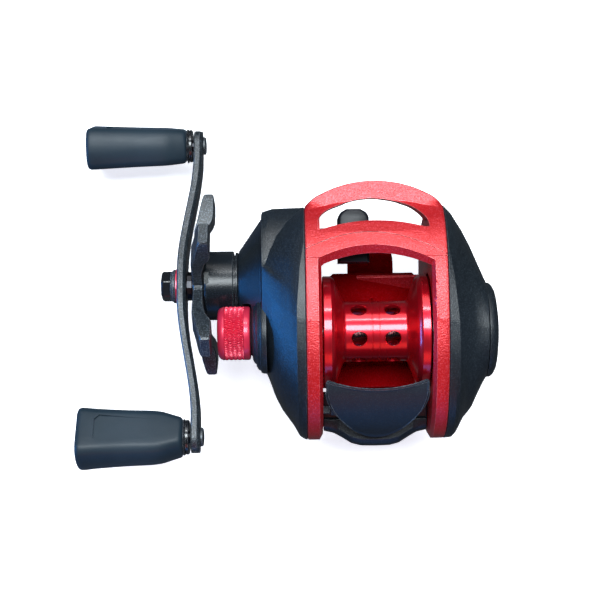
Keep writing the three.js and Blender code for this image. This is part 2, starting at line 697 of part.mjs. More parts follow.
function buildNut() {
  const hex = [];
  for (let i = 0; i < 6; i += 1) {
    hex.push([4.9 * Math.cos((i * Math.PI) / 3), 4.9 * Math.sin((i * Math.PI) / 3)]);
  }
  const body = join(slab(hex, -66.7, -63.6), rod(-63.7, -62.1, 5.2));
  return cut(body, rod(-66.3, -60, SHAFT_R + 0.2));
}

place(handle, 'handle_nut', buildNut(), blackMetal);

const STAR_ARMS = 5;
const STAR_LEAN = 0.089; // radians from +Y towards +Z, first arm
// Radius, outboard X, inboard X and half-width of each arm, from the hub to the tip.
const STAR_STATIONS = [
  [5, -56.3, -53.1, 3.6], [11.5, -56.3, -53.1, 3.4], [14.5, -56.3, -52.4, 3.6],
  [18, -56.1, -51.6, 4], [21.3, -55.1, -50.2, 4.3], [27.5, -53.8, -49.9, 4.2],
  [29.4, -53.2, -50.4, 3.2],
];

function starArm(lean) {
  const c = Math.cos(lean);
  const s = Math.sin(lean);
  return loft(STAR_STATIONS.map(([radius, outboard, inboard, half]) => (
    [[outboard, -half], [outboard, half], [inboard, half], [inboard, -half]].map(([x, side]) => (
      new THREE.Vector3(x, radius * c - side * s, radius * s + side * c)
    ))
  )));
}

function buildStar() {
  const hub = tube(-56.4, -53.1, SHAFT_R + GAP, 7.4, 0, 0, 15);
  const arms = [];
  for (let i = 0; i < STAR_ARMS; i += 1) {
    arms.push(starArm(STAR_LEAN + (i * 2 * Math.PI) / STAR_ARMS));
  }
  return cut(join(hub, ...arms), rod(-60, -50, SHAFT_R + GAP, 0, 0));
}

place(handle, 'star_drag', buildStar(), blackMetal);

// X, width and thickness of the grips, from the outboard end inward.
const GRIP_SECTIONS = [
  [-91.5, 16.8, 11.4], [-90.6, 18, 12.6], [-84, 17.2, 12], [-76, 16.3, 11.3],
  [-68, 15.6, 10.9], [-64, 13.9, 10.5], [-60.4, 11.4, 9.9], [-59.2, 10.4, 8.8],
];

// A rounded rectangle, width along Y and thickness along Z.
function gripRing([x, width, thick]) {
  const ring = [];
  const steps = 16;
  const power = 0.45;
  for (let i = 0; i < steps; i += 1) {
    const angle = (2 * Math.PI * (i + 0.5)) / steps;
    const c = Math.cos(angle);
    const s = Math.sin(angle);
    const y = (width / 2) * Math.sign(c) * Math.abs(c) ** power;
    const z = (thick / 2) * Math.sign(s) * Math.abs(s) ** power;
    ring.push(new THREE.Vector3(x, y, z));
  }
  return ring;
}

function buildGrip() {
  const body = loft(GRIP_SECTIONS.map(gripRing));
  return cut(body, rod(-89.4, -50, 2.6), rod(-95, -88.8, 3.8));
}

for (const [side, along, roll] of [['front', ARM_HALF, FRONT_ROLL], ['rear', -ARM_HALF, REAR_ROLL]]) {
  const seat = new THREE.Group();
  seat.position.y = along;
  seat.rotation.x = roll - HANDLE_TILT;
  handle.add(seat);
  place(seat, `knob_shaft_${side}`, turned([
    [-87.6, 0], [-87.6, 2], [-58.9, 2], [-58.9, 4.6], [-57.4, 4.6], [-57.4, 2], [-53, 2], [-53, 0],
  ], 0, 0, 12), steel);
  place(seat, `grip_${side}`, buildGrip(), rubber);
  place(seat, `knob_cap_${side}`, rod(-91.2, -89.2, 3.5), blackMetal);
}

export default reel;
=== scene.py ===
"""A low-profile baitcasting reel, seen from straight above on a pale floor."""
import json
import math

import bmesh
import bpy
from mathutils import Matrix, Vector


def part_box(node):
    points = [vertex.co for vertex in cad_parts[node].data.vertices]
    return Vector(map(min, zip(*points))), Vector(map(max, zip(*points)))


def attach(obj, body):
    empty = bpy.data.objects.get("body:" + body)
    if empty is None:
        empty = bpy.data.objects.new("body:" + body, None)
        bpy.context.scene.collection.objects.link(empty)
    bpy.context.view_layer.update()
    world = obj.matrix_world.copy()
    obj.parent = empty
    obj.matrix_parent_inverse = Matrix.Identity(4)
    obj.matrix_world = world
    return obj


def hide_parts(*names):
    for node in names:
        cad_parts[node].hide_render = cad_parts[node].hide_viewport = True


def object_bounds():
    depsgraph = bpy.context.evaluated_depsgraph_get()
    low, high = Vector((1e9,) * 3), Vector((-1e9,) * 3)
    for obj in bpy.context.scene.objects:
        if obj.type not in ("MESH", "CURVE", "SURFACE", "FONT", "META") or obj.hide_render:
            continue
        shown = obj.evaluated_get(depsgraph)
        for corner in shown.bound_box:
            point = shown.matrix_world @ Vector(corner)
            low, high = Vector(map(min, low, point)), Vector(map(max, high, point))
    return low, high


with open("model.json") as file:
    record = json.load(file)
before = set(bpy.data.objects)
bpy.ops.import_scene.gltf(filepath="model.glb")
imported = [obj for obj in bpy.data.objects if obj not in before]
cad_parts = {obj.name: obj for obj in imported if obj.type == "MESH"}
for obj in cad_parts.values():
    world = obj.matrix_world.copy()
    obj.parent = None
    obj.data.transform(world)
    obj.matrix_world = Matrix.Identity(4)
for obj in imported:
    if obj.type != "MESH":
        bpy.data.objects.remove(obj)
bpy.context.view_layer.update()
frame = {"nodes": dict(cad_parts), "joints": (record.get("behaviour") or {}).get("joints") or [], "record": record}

MM = 0.001
scene = bpy.context.scene

# ---- places taken from the frame, in millimetres ----


def joint(name):
    return next(j for j in frame["joints"] if j["name"] == name)


def place_of(name):
    return Vector(joint(name)["pos_m"]) / MM


def limits(node):
    low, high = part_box(node)
    return low / MM, high / MM


DRIVE = place_of("handle_turn")
SPOOL = place_of("spool_spin")
WORM = place_of("worm_spin")
KNOB_FRONT = place_of("knob_front_spin")
KNOB_REAR = place_of("knob_rear_spin")
TILT = math.atan2(KNOB_FRONT.z - DRIVE.z, KNOB_FRONT.y - DRIVE.y)
ARM_HALF = math.hypot(KNOB_FRONT.z - DRIVE.z, KNOB_FRONT.y - DRIVE.y)

# ---- mesh tools ----


def new_object(name, data):
    made = bpy.data.objects.new(name, data)
    scene.collection.objects.link(made)
    return made


def object_from(name, bm):
    """A new object in the scene from a bmesh in millimetres."""
    bmesh.ops.recalc_face_normals(bm, faces=bm.faces)
    bmesh.ops.scale(bm, vec=(MM, MM, MM), verts=bm.verts)
    mesh = bpy.data.meshes.new(name)
    bm.to_mesh(mesh)
    bm.free()
    return new_object(name, mesh)


def finish_mesh(name, bm, kind, replaces=(), angle=32.0):
    """A piece from a bmesh in millimetres; kind is its material, body and slot, and the slot is not used."""
    material, body, slot = kind
    bmesh.ops.remove_doubles(bm, verts=bm.verts, dist=1e-4)
    piece = object_from(name, bm)
    piece.data.materials.append(material)
    shade(piece.data, angle)
    settle(piece, body, replaces)
    return piece


def shade(mesh, angle):
    mesh.shade_smooth()
    mesh.set_sharp_from_angle(angle=math.radians(angle))


def settle(piece, body, replaces=()):
    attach(piece, body)
    if replaces:
        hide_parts(*replaces)


def bevel(piece, width, segments=2, angle=30.0):
    edge = piece.modifiers.new("edge", "BEVEL")
    edge.width = width * MM
    edge.segments = segments
    edge.limit_method = "ANGLE"
    edge.angle_limit = math.radians(angle)
    edge.harden_normals = False
    edge.use_clamp_overlap = True


def circle(count, shift=0.0):
    """Cosine and sine of equal steps once round."""
    turns = [math.tau * (i + shift) / count for i in range(count)]
    return [(math.cos(turn), math.sin(turn)) for turn in turns]


def loft_into(bm, rings):
    """Skins a list of equal closed rings and closes both ends."""
    rows = [[bm.verts.new(p) for p in ring] for ring in rings]
    count = len(rows[0])
    for a, b in zip(rows, rows[1:]):
        for i in range(count):
            j = (i + 1) % count
            bm.faces.new((a[i], a[j], b[j], b[i]))
    bm.faces.new(list(reversed(rows[0])))
    bm.faces.new(rows[-1])


def skin(name, rings, kind, replaces=(), angle=32.0):
    """A piece skinned through rings."""
    bm = bmesh.new()
    loft_into(bm, rings)
    return finish_mesh(name, bm, kind, replaces, angle)


def bar_piece(name, profile, ends, kind, edge, segments=2, angle=32.0):
    """A bar along X with a profile of (y, z) and bevelled edges."""
    piece = skin(name, [[(x, y, z) for y, z in profile] for x in ends], kind, angle=angle)
    bevel(piece, edge, segments)


def lathe_into(bm, profile, centre, segments=96):
    """Turns a profile of (x, radius) about the X axis through centre."""
    closed = profile[0] == profile[-1]
    rows = []
    for x, radius in profile[:-1] if closed else profile:
        if radius < 1e-6:
            rows.append([bm.verts.new((x, centre.y, centre.z))])
        else:
            rows.append([bm.verts.new((x, centre.y + radius * c, centre.z + radius * s))
                         for c, s in circle(segments)])
    pairs = list(zip(rows, rows[1:]))
    if closed:
        pairs.append((rows[-1], rows[0]))
    for a, b in pairs:
        for i in range(segments):
            j = (i + 1) % segments
            if len(a) == 1:
                bm.faces.new((a[0], b[j], b[i]))
            elif len(b) == 1:
                bm.faces.new((a[i], a[j], b[0]))
            else:
                bm.faces.new((a[i], a[j], b[j], b[i]))


def lathe(name, profile, centre, kind, replaces=(), segments=96, angle=32.0):
    bm = bmesh.new()
    lathe_into(bm, profile, centre, segments)
    return finish_mesh(name, bm, kind, replaces, angle)


def cutter(rings):
    """A tool for carve or combine, skinned through rings."""
    bm = bmesh.new()
    loft_into(bm, rings)
    return object_from("cutter", bm)


def prism(plan, low, high):
    """Rings of a plan outline of (x, y), from z low to high."""
    return [[(x, y, z) for x, y in plan] for z in (low, high)]


def box_cutter(low, high):
    plan = [(low[0], low[1]), (high[0], low[1]), (high[0], high[1]), (low[0], high[1])]
    return cutter(prism(plan, low[2], high[2]))


def turned_cutter(profile, centre, segments=64):
    bm = bmesh.new()
    lathe_into(bm, profile, centre, segments)
    return object_from("cutter", bm)


def cylinder(radius, x0, x1, centre, segments=64):
    return turned_cutter([(x0, 0), (x0, radius), (x1, radius), (x1, 0)], centre, segments)


def combine(piece, tool, operation, angle):
    """Cuts, joins or intersects a piece with a tool, for good."""
    step = piece.modifiers.new("combine", "BOOLEAN")
    step.operation = operation
    step.solver = "EXACT"
    step.object = tool
    bpy.context.view_layer.update()
    graph = bpy.context.evaluated_depsgraph_get()
    made = bpy.data.meshes.new_from_object(piece.evaluated_get(graph))
    old = piece.data
    piece.modifiers.clear()
    piece.data = made
    made.name = old.name
    bpy.data.meshes.remove(old)
    spent = tool.data
    bpy.data.objects.remove(tool)
    bpy.data.meshes.remove(spent)
    shade(piece.data, angle)
    return piece


def carve(piece, tool, angle):
    return combine(piece, tool, "DIFFERENCE", angle)


def span_points(points, s):
    """The two ends of a span and their neighbours, held at the ends of the list."""
    last = len(points) - 1
    return [Vector(points[min(max(s + k - 1, 0), last)]) for k in range(4)]


def catmull(p, t):
    """Catmull-Rom curve between p[1] and p[2]."""
    return 0.5 * (
        2 * p[1] + (p[2] - p[0]) * t
        + (2 * p[0] - 5 * p[1] + 4 * p[2] - p[3]) * t * t
        + (3 * p[1] - p[0] - 3 * p[2] + p[3]) * t * t * t
    )


def spline(points, samples):
    """Catmull-Rom curve through points, resampled to equal steps."""
    fine = []
    per_span = 24
    for s in range(len(points) - 1):
        p = span_points(points, s)
        fine += [catmull(p, k / per_span) for k in range(per_span)]
    fine.append(Vector(points[-1]))
    lengths = [0.0]
    for a, b in zip(fine, fine[1:]):
        lengths.append(lengths[-1] + (b - a).length)
    result = []
    k = 0
    for i in range(samples):
        want = lengths[-1] * i / (samples - 1)
        while k < len(lengths) - 2 and lengths[k + 1] < want:
            k += 1
        share = (want - lengths[k]) / max(lengths[k + 1] - lengths[k], 1e-9)
        result.append(fine[k].lerp(fine[k + 1], share))
    return result


def flat_spline(points, samples):
    return [(p.x, p.y) for p in spline([(x, y, 0) for x, y in points], samples)]


def table_at(table, x):
    """Straight-line interpolation in a list of (x, value...) rows, x rising or falling."""
    rows = sorted(table)
    if x <= rows[0][0]:
        return rows[0][1:]
    for a, b in zip(rows, rows[1:]):
        if x <= b[0]:
            t = (x - a[0]) / (b[0] - a[0])
            return tuple(u + (v - u) * t for u, v in zip(a[1:], b[1:]))
    return rows[-1][1:]


def smoothstep(low, high, x):
    t = min(max((x - low) / (high - low), 0.0), 1.0)
    return t * t * (3 - 2 * t)


# ---- materials ----

WEAR_WIDTH = 0.22


class Nodes:
    """A short way to wire one material."""

    def __init__(self, name):
        self.material = bpy.data.materials.new(name)
        self.material.use_nodes = True
        self.tree = self.material.node_tree
        self.shader = self.tree.nodes["Principled BSDF"]
        self.place = self.tree.nodes.new("ShaderNodeTexCoord").outputs["Object"]

    def add(self, kind, inputs=(), **values):
        """A new node with its settings; inputs are (name, value) pairs."""
        node = self.tree.nodes.new(kind)
        for key, value in values.items():
            setattr(node, key, value)
        for key, value in inputs:
            node.inputs[key].default_value = value
        return node

    def link(self, source, target):
        self.tree.links.new(source, target)

    def feed(self, socket, source):
        self.link(source, self.shader.inputs[socket])

    def noise(self, scale, detail=2.0, roughness=0.5, stretch=None):
        node = self.add("ShaderNodeTexNoise", (("Scale", scale), ("Detail", detail),
                                               ("Roughness", roughness)))
        source = self.place
        if stretch:
            mapping = self.add("ShaderNodeMapping", (("Scale", stretch),))
            self.link(self.place, mapping.inputs["Vector"])
            source = mapping.outputs["Vector"]
        self.link(source, node.inputs["Vector"])
        return node.outputs["Fac"]

    def ramp(self, factor, low, high, start, stop):
        node = self.add("ShaderNodeMapRange", (("From Min", start), ("From Max", stop),
                                               ("To Min", low), ("To Max", high)))
        self.link(factor, node.inputs["Value"])
        return node.outputs["Result"]

    def blend(self, factor, first, second):
        node = self.add("ShaderNodeMix", data_type="RGBA")
        self.link(factor, node.inputs["Factor"])
        for socket, value in ((node.inputs[6], first), (node.inputs[7], second)):
            if isinstance(value, tuple):
                socket.default_value = (*value, 1.0)
            else:
                self.link(value, socket)
        return node.outputs[2]

    def bump(self, height, strength, distance):
        node = self.add("ShaderNodeBump", (("Strength", strength), ("Distance", distance * MM)))
        self.link(height, node.inputs["Height"])
        return node.outputs["Normal"]

    def edges(self):
        """1 along convex and concave edges, 0 elsewhere, broken up by noise."""
        rounded = self.add("ShaderNodeBevel", (("Radius", WEAR_WIDTH * MM),), samples=3)
        geometry = self.add("ShaderNodeNewGeometry")
        dot = self.add("ShaderNodeVectorMath", operation="DOT_PRODUCT")
        self.link(rounded.outputs["Normal"], dot.inputs[0])
        self.link(geometry.outputs["Normal"], dot.inputs[1])
        worn = self.ramp(dot.outputs["Value"], 1.0, 0.0, 0.86, 0.985)
        patch = self.ramp(self.noise(900, 3), 0.25, 1.0, 0.4, 0.6)
        node = self.add("ShaderNodeMath", operation="MULTIPLY")
        self.link(worn, node.inputs[0])
        self.link(patch, node.inputs[1])
        return node.outputs[0]

    def fixed(self, **values):
        for key, value in values.items():
            self.shader.inputs[key.replace("_", " ")].default_value = value


def coated(name, dark, light, worn, rough, grain, metallic=0.0, coat=0.0, coat_rough=0.3,
           grain_size=0.3, specular=0.5, glint=None, glint_share=0.4):
    """A painted, anodised or moulded surface: fine grain with painted glints, soft colour drift, worn edges."""
    n = Nodes(name)
    drift = n.ramp(n.noise(30, 3), 0.0, 1.0, 0.35, 0.65)
    speck = n.noise(1 / (grain_size * MM), 1.0)
    colour = n.blend(drift, dark, light)
    # Painted highlight: noise specks blend the colour toward the glint colour, as painted glints of sparkle.
    painted_glints = n.ramp(speck, 0.0, glint_share, 0.5, 0.72)
    colour = n.blend(painted_glints, colour, glint or light)
    colour = n.blend(n.edges(), colour, worn)
    n.feed("Base Color", colour)
    mottled = n.ramp(n.noise(90, 3), *rough, 0.3, 0.7)
    n.feed("Roughness", mottled)
    bumped = n.bump(speck, grain, grain_size * 0.3)
    n.feed("Normal", bumped)
    if coat:
        n.feed("Coat Normal", bumped)
    n.fixed(Metallic=metallic, Coat_Weight=coat, Coat_Roughness=coat_rough,
            Specular_IOR_Level=specular)
    return n.material


def turned_metal(name, dark, light, rough, lines=2600.0, strength=0.15, metallic=1.0,
                 coat=0.0):
    """Metal with fine tool lines running round the X axis."""
    n = Nodes(name)
    rings = n.noise(1.0, 2.0, 0.6, stretch=(lines, 12.0, 12.0))
    stain = n.ramp(n.noise(60, 3), 0.0, 1.0, 0.35, 0.7)
    n.feed("Base Color", n.blend(stain, dark, light))
    n.feed("Roughness", n.ramp(rings, *rough, 0.3, 0.7))
    n.feed("Normal", n.bump(rings, strength, 0.01))
    n.fixed(Metallic=metallic, Coat_Weight=coat, Coat_Roughness=0.12)
    return n.material


def soft_rubber(name, dark, light):
    """Soft-touch rubber: fine pores, faint handling marks, a soft sheen."""
    n = Nodes(name)
    drift = n.ramp(n.noise(60, 4), 0.0, 1.0, 0.35, 0.68)
    pores = n.noise(2600, 2.0)
    smears = n.ramp(n.noise(1.0, 5, 0.6, stretch=(60, 220, 220)), 0.42, 0.56, 0.35, 0.7)
    n.feed("Base Color", n.blend(drift, dark, light))
    n.feed("Roughness", smears)
    n.feed("Normal", n.bump(pores, 0.3, 0.08))
    n.fixed(Sheen_Weight=0.08, Sheen_Roughness=0.4, Specular_IOR_Level=0.3)
    n.shader.inputs["Sheen Tint"].default_value = (0.55, 0.75, 1.0, 1.0)
    return n.material


# The glint colours below are painted highlight: light specks that stand in for sparkle.
RED = coated("red_satin", (0.50, 0.003, 0.006), (0.58, 0.005, 0.010), (0.95, 0.36, 0.38),
             (0.36, 0.42), 1.0, metallic=0.45, coat=0.55, coat_rough=0.34, specular=0.45,
             grain_size=0.42, glint=(0.9, 0.10, 0.14), glint_share=0.45)
# A darker copy of the frame red, painted shade for the trough, bars and foot that lie in the shadow of the hood
# and frame.
RED_SHADED = coated("red_painted_shade", (0.15, 0.0004, 0.0008), (0.20, 0.0008, 0.0016),
                  (0.4, 0.03, 0.04), (0.5, 0.6), 0.5, specular=0.0,
                  grain_size=0.42, glint=(0.3, 0.01, 0.02), glint_share=0.3)
RED_GLOSS = turned_metal("red_gloss", (0.60, 0.006, 0.018), (0.70, 0.010, 0.028),
                         (0.27, 0.33), lines=1500.0, strength=0.03, metallic=0.8,
                         coat=0.9)
RED_KNOB = turned_metal("red_knob", (0.62, 0.02, 0.06), (0.72, 0.035, 0.09), (0.36, 0.42),
                        lines=1800.0, strength=0.03, metallic=0.4, coat=0.5)
BLACK = coated("black_plate", (0.0035, 0.006, 0.009), (0.006, 0.010, 0.015),
               (0.09, 0.11, 0.13), (0.33, 0.4), 0.8, coat=0.12, coat_rough=0.35,
               specular=0.4, glint=(0.06, 0.08, 0.10), glint_share=0.35)
GUIDE_BLACK = coated("guide_black", (0.003, 0.004, 0.006), (0.005, 0.006, 0.009),
                     (0.12, 0.14, 0.16), (0.3, 0.36), 0.3, specular=0.25,
                     glint=(0.02, 0.03, 0.04), glint_share=0.3)
BLACK_BARREL = coated("black_barrel", (0.004, 0.006, 0.009), (0.006, 0.009, 0.013),
                      (0.16, 0.18, 0.2), (0.24, 0.27), 0.35, coat=0.1, coat_rough=0.22,
                      specular=0.35, glint=(0.02, 0.03, 0.04), glint_share=0.3)
BLACK_METAL = coated("black_speckle", (0.005, 0.008, 0.011), (0.010, 0.015, 0.020),
                     (0.34, 0.37, 0.4), (0.32, 0.4), 1.0, metallic=0.15, coat=0.3,
                     grain_size=0.36, glint=(0.16, 0.2, 0.24), glint_share=0.6)
NUT_GLOSS = coated("nut_gloss", (0.003, 0.0035, 0.005), (0.004, 0.005, 0.007),
                   (0.2, 0.22, 0.25), (0.2, 0.26), 0.15, coat=0.5, coat_rough=0.12,
                   glint=(0.02, 0.02, 0.03), glint_share=0.2)
NAVY = coated("thumb_navy", (0.005, 0.011, 0.019), (0.008, 0.015, 0.025),
              (0.12, 0.14, 0.17), (0.40, 0.47), 0.5, specular=0.4,
              glint=(0.03, 0.045, 0.06))
RUBBER = soft_rubber("grip_rubber", (0.010, 0.021, 0.032), (0.016, 0.030, 0.044))
STEEL = turned_metal("steel", (0.42, 0.42, 0.43), (0.52, 0.52, 0.54), (0.24, 0.36))
# A darker copy of steel, painted shade for shafts that sit between or under other parts.
SHADED_STEEL = turned_metal("steel_painted_shade", (0.03, 0.03, 0.035), (0.05, 0.05, 0.055),
                          (0.3, 0.4))
SPRING = turned_metal("spring_steel", (0.30, 0.30, 0.32), (0.40, 0.40, 0.41), (0.25, 0.4))
ALLOY = turned_metal("alloy", (0.7, 0.7, 0.71), (0.78, 0.78, 0.79), (0.25, 0.35))
BRASS = turned_metal("brass", (0.6, 0.42, 0.16), (0.7, 0.5, 0.22), (0.22, 0.36))
COG = coated("cog_plastic", (0.05, 0.055, 0.065), (0.07, 0.075, 0.085), (0.12, 0.12, 0.13),
             (0.3, 0.4), 0.1)
FIBRE = coated("fibre", (0.05, 0.05, 0.05), (0.09, 0.09, 0.085), (0.12, 0.12, 0.12),
               (0.7, 0.85), 0.5)
INSERT = turned_metal("insert", (0.55, 0.56, 0.6), (0.62, 0.63, 0.66), (0.08, 0.16))

SLOT_MATERIAL = {
    "red_frame": RED, "red_spool": RED_GLOSS, "red_knob": RED_KNOB, "black_plate": BLACK,
    "thumb_plastic": NAVY, "black_metal": BLACK_METAL, "grip_rubber": RUBBER, "steel": STEEL,
    "cup_alloy": ALLOY, "spring_steel": SPRING, "brass": BRASS, "cog_plastic": COG,
    "fibre": FIBRE, "guide_insert": INSERT,
}

# CAD nodes that are darker or redder than the rest of their slot: the shafts, spring and rod between and under
# other parts take a darker steel, painted shade.
NODE_MATERIAL = dict.fromkeys(("drive_shaft", "star_spring", "knob_shaft_front",
                               "knob_shaft_rear", "guide_rod"), SHADED_STEEL)
NODE_MATERIAL["nut_washer"] = RED_KNOB

# Material, body and slot of the pieces built below.
RED_FRAME = (RED, "frame_body", "red_frame")
# Painted shade: the darker copy of the frame red, for pieces in shadow.
SHADED_RED_FRAME = (RED_SHADED, "frame_body", "red_frame")
PLATE = (BLACK, "frame_body", "black_plate")
TOWER = (BLACK_BARREL, "frame_body", "black_metal")
DIAL = (BLACK, "dial_body", "black_plate")
SPOOL_METAL = (RED_GLOSS, "spool_body", "red_spool")
KNOB_METAL = (RED_KNOB, "tension_body", "red_knob")
THUMB = (NAVY, "thumb_body", "thumb_plastic")
GUIDE = (GUIDE_BLACK, "guide_body", "black_plate")
HANDLE = (BLACK_METAL, "handle_body", "black_metal")
NUT = (NUT_GLOSS, "handle_body", "black_metal")
STAR = (BLACK_METAL, "star_body", "black_metal")


def dress_cad_nodes():
    """Every CAD node gets its slot's material, a soft edge and shading by angle."""
    for row in frame["record"]["subparts"]:
        node = frame["nodes"][row["node"]]
        node.data.materials.clear()
        dressed = NODE_MATERIAL.get(row["node"], SLOT_MATERIAL[row["material_slot"]])
        node.data.materials.append(dressed)
        shade(node.data, 32)
        bevel(node, 0.12, 2, 35)


dress_cad_nodes()

# ---- the side outline ----

# Side view (y, z): from the crest forward, down the front and under; then back up to the crest.
FRONT_SIDE = [
    (3.8, 43.5), (12, 43.0), (20, 41.45), (26, 39.35), (30, 37.2), (33.2, 34.7), (35, 32.8),
    (36.6, 30.8), (37.9, 28.4), (38.4, 26.2), (38.6, 24.2), (38.6, 22.6), (38.4, 20.0),
    (37.9, 15), (35.4, 5.5), (30.4, -3), (21, -8.2), (8, -9),
]
# The same points at the middle of the reel, where the hood crowns and the front bar bows out.
FRONT_MIDDLE = [
    (3.8, 43.5), (12, 43.0), (20, 41.6), (26.2, 39.9), (30, 38.3), (33, 36.0), (36.5, 32.0),
    (40.0, 28.9), (45.3, 28.6), (45.6, 28.0), (45.6, 24.5), (45.2, 23.9), (39.5, 23.6),
] + FRONT_SIDE[13:]
REAR_SIDE = [
    (8, -9), (-8, -9), (-20.5, -6.8), (-28.8, -0.2), (-32.8, 7.5), (-33.9, 16), (-32, 25.2),
    (-26.4, 33.4), (-17.6, 39.3), (-7, 42.5), (3.8, 43.5),
]
REAR, FRONT, BOTTOM, TOP = -33.9, 38.6, -9.0, 43.5
PER_SPAN = 7
STEP_Y, STEP_RISE = 22.35, 0.22  # the hood stands a little proud from here forward
WALL_IN = 16.4
FACET_X = 17.4                   # inner edge of the flat rim facet
RIM_HALF = 21.2                  # half the width over both rims


def by_index(points, smooth):
    """Curve through the points, the same number of samples in every span."""
    result = []
    for s in range(len(points) - 1):
        p = span_points(points, s)
        for k in range(PER_SPAN):
            t = k / PER_SPAN
            result.append(catmull(p, t) if smooth else p[1].lerp(p[2], t))
    return result


side_curve = by_index(FRONT_SIDE, True)
middle_curve = by_index(FRONT_MIDDLE, False)
rear_curve = by_index(REAR_SIDE, True)
BAR_BULGE = [(0, 1.07), (3, 1.057), (6.5, 0.993), (9, 0.914), (12, 0.79), (14.5, 0.645),
             (17.4, 0.45), (19, 0.3), (20.4, 0.13), (21.2, 0.0)]


def section(x, step=True):
    """The side outline at one place across the reel, as (y, z) points."""
    across = abs(x)
    crown = max(0.0, 1 - (across / FACET_X) ** 2)
    bulge = table_at(BAR_BULGE, across)[0]
    points = []
    for i, (a, b) in enumerate(zip(side_curve, middle_curve)):
        place = i / PER_SPAN
        front = smoothstep(5.0, 6.6, place)
        y_share = crown + (bulge - crown) * front
        crease = 15.7 + 3.3 * smoothstep(6.9, 8.0, place)
        level = min(1.0, max(0.0, (RIM_HALF - across) / (RIM_HALF - crease)))
        z_share = crown + (level - crown) * front
        points.append((a.x + (b.x - a.x) * y_share, a.y + (b.y - a.y) * z_share))
    stepped = []
    for i, (y, z) in enumerate(points):
        top = step and z > 30
        if top and i and points[i - 1][0] < STEP_Y <= y:
            before = points[i - 1]
            share = (STEP_Y - before[0]) / (y - before[0])
            level = before[1] + (z - before[1]) * share
            stepped += [(STEP_Y, level), (STEP_Y + 0.25, level - 0.05 + STEP_RISE)]
        lift = STEP_RISE * (1 - smoothstep(24, 33, y)) if top and y > STEP_Y else 0.0
        stepped.append((y, z + lift))
    return stepped + [(p.x, p.y) for p in rear_curve]


outline = section(RIM_HALF, False)


def inset(points, distance):
    """Moves each point of a closed outline inward along its normal."""
    moved = []
    count = len(points)
    for i, (y, z) in enumerate(points):
        before, after = points[i - 1], points[(i + 1) % count]
        run = Vector((after[0] - before[0], after[1] - before[1])).normalized()
        moved.append((y + run.y * distance, z - run.x * distance))
    return moved


def stretched(point, rear, front, bottom, top):
    """One point of the outline, scaled to new limits."""
    y, z = point
    return (rear + (y - REAR) / (FRONT - REAR) * (front - rear),
            bottom + (z - BOTTOM) / (TOP - BOTTOM) * (top - bottom))


def surface_z(x, y):
    """Height of the upper side of the section at x."""
    points = section(x)
    best = None
    for a, b in zip(points, points[1:] + points[:1]):
        low, high = sorted((a, b))
        if low[0] <= y <= high[0] and high[0] > low[0]:
            z = low[1] + (high[1] - low[1]) * (y - low[0]) / (high[0] - low[0])
            best = z if best is None else max(best, z)
    return best


# ---- frame and hood ----

WALL_OUT = limits("frame")[1].x
BEVEL_DROP = 1.75
CROWN_Y, CROWN_Z = 3.8, 22.6     # forward of and above this the top is one crowned shell
CROWN_BOX = ((-40, CROWN_Y, CROWN_Z), (40, 60, 60))
# Distance in from the rim, and depth of its rounded edge there.
RIM_EDGE = [(0.0, 0.28), (0.16, 0.06), (0.3, 0.0)]
FRAME_ANGLE = 24                 # sharp edges of the frame, in degrees
SEAM_GAP = 0.08


def seam_y(x):
    """Parting line of the hood, in plan."""
    return 30.0 - 0.0135 * (x + 2) ** 2


def window_y(x):
    """Rear edge of the hood at its surface, in plan."""
    return 26.2 - 0.0145 * (x + 1) ** 2


def make_wall(name, side):
    """Side ring: flat rim facet, then a bevel down to the inner face."""
    steps = [(WALL_OUT - run, depth) for run, depth in RIM_EDGE]
    steps += [(19.2, 0.0), (FACET_X, 0.0), (WALL_IN, BEVEL_DROP)]
    rings = [[(side * x, y, z) for y, z in inset(outline, depth)] for x, depth in steps]
    wall = skin(name, rings, RED_FRAME, angle=FRAME_ANGLE)
    return bore_walls(carve(wall, box_cutter(*CROWN_BOX), FRAME_ANGLE))


def seam_region(shift):
    """Everything forward of the parting line, as a cutting prism."""
    xs = [-26 + 52 * i / 60 for i in range(61)]
    plan = [(x, seam_y(x) + shift) for x in xs] + [(26, 60), (-26, 60)]
    return cutter(prism(plan, 10, 60))


def bore_walls(piece):
    """Bores for the gear-side shafts, and the wide spool opening on the palm side."""
    carve(piece, cylinder(5, -30, 0, SPOOL), FRAME_ANGLE)
    return carve(piece, cylinder(17.7, 10, 30, SPOOL, 128), FRAME_ANGLE)


def window_cutter():
    """The spool window: a bevelled rim round a straight-sided opening."""
    outer, inner = [], []
    for i in range(24):
        y = -6 + 28.2 * i / 23
        outer.append((-FACET_X, min(y, window_y(-FACET_X) - 0.01 * (23 - i))))
        inner.append((-WALL_IN, min(y, 19.9 - 0.01 * (23 - i))))
    for i in range(1, 40):
        share = i / 40
        x_out = -FACET_X + 2 * FACET_X * share
        x_in = -WALL_IN + 2 * WALL_IN * share
        outer.append((x_out, window_y(x_out)))
        inner.append((x_in, 23.7 - 0.0135 * (x_in + 0.5) ** 2))
    for i in range(24):
        y = 22.2 - 28.2 * i / 23
        outer.append((FACET_X, min(y, window_y(FACET_X) - 0.01 * i)))
        inner.append((WALL_IN, min(y, 19.9 - 0.01 * i)))
    rims = [[], [], [], [], []]
    for (xo, yo), (xi, yi) in zip(outer, inner):
        z = surface_z(xo, yo)
        beyond = (2 * xo - xi, 2 * yo - yi)
        levels = ((*beyond, 60.0), (*beyond, z + BEVEL_DROP), (xo, yo, z),
                  (xi, yi, z - BEVEL_DROP), (xi, yi, 0.0))
        for rim, corner in zip(rims, levels):
            rim.append(corner)
    return cutter(rims)


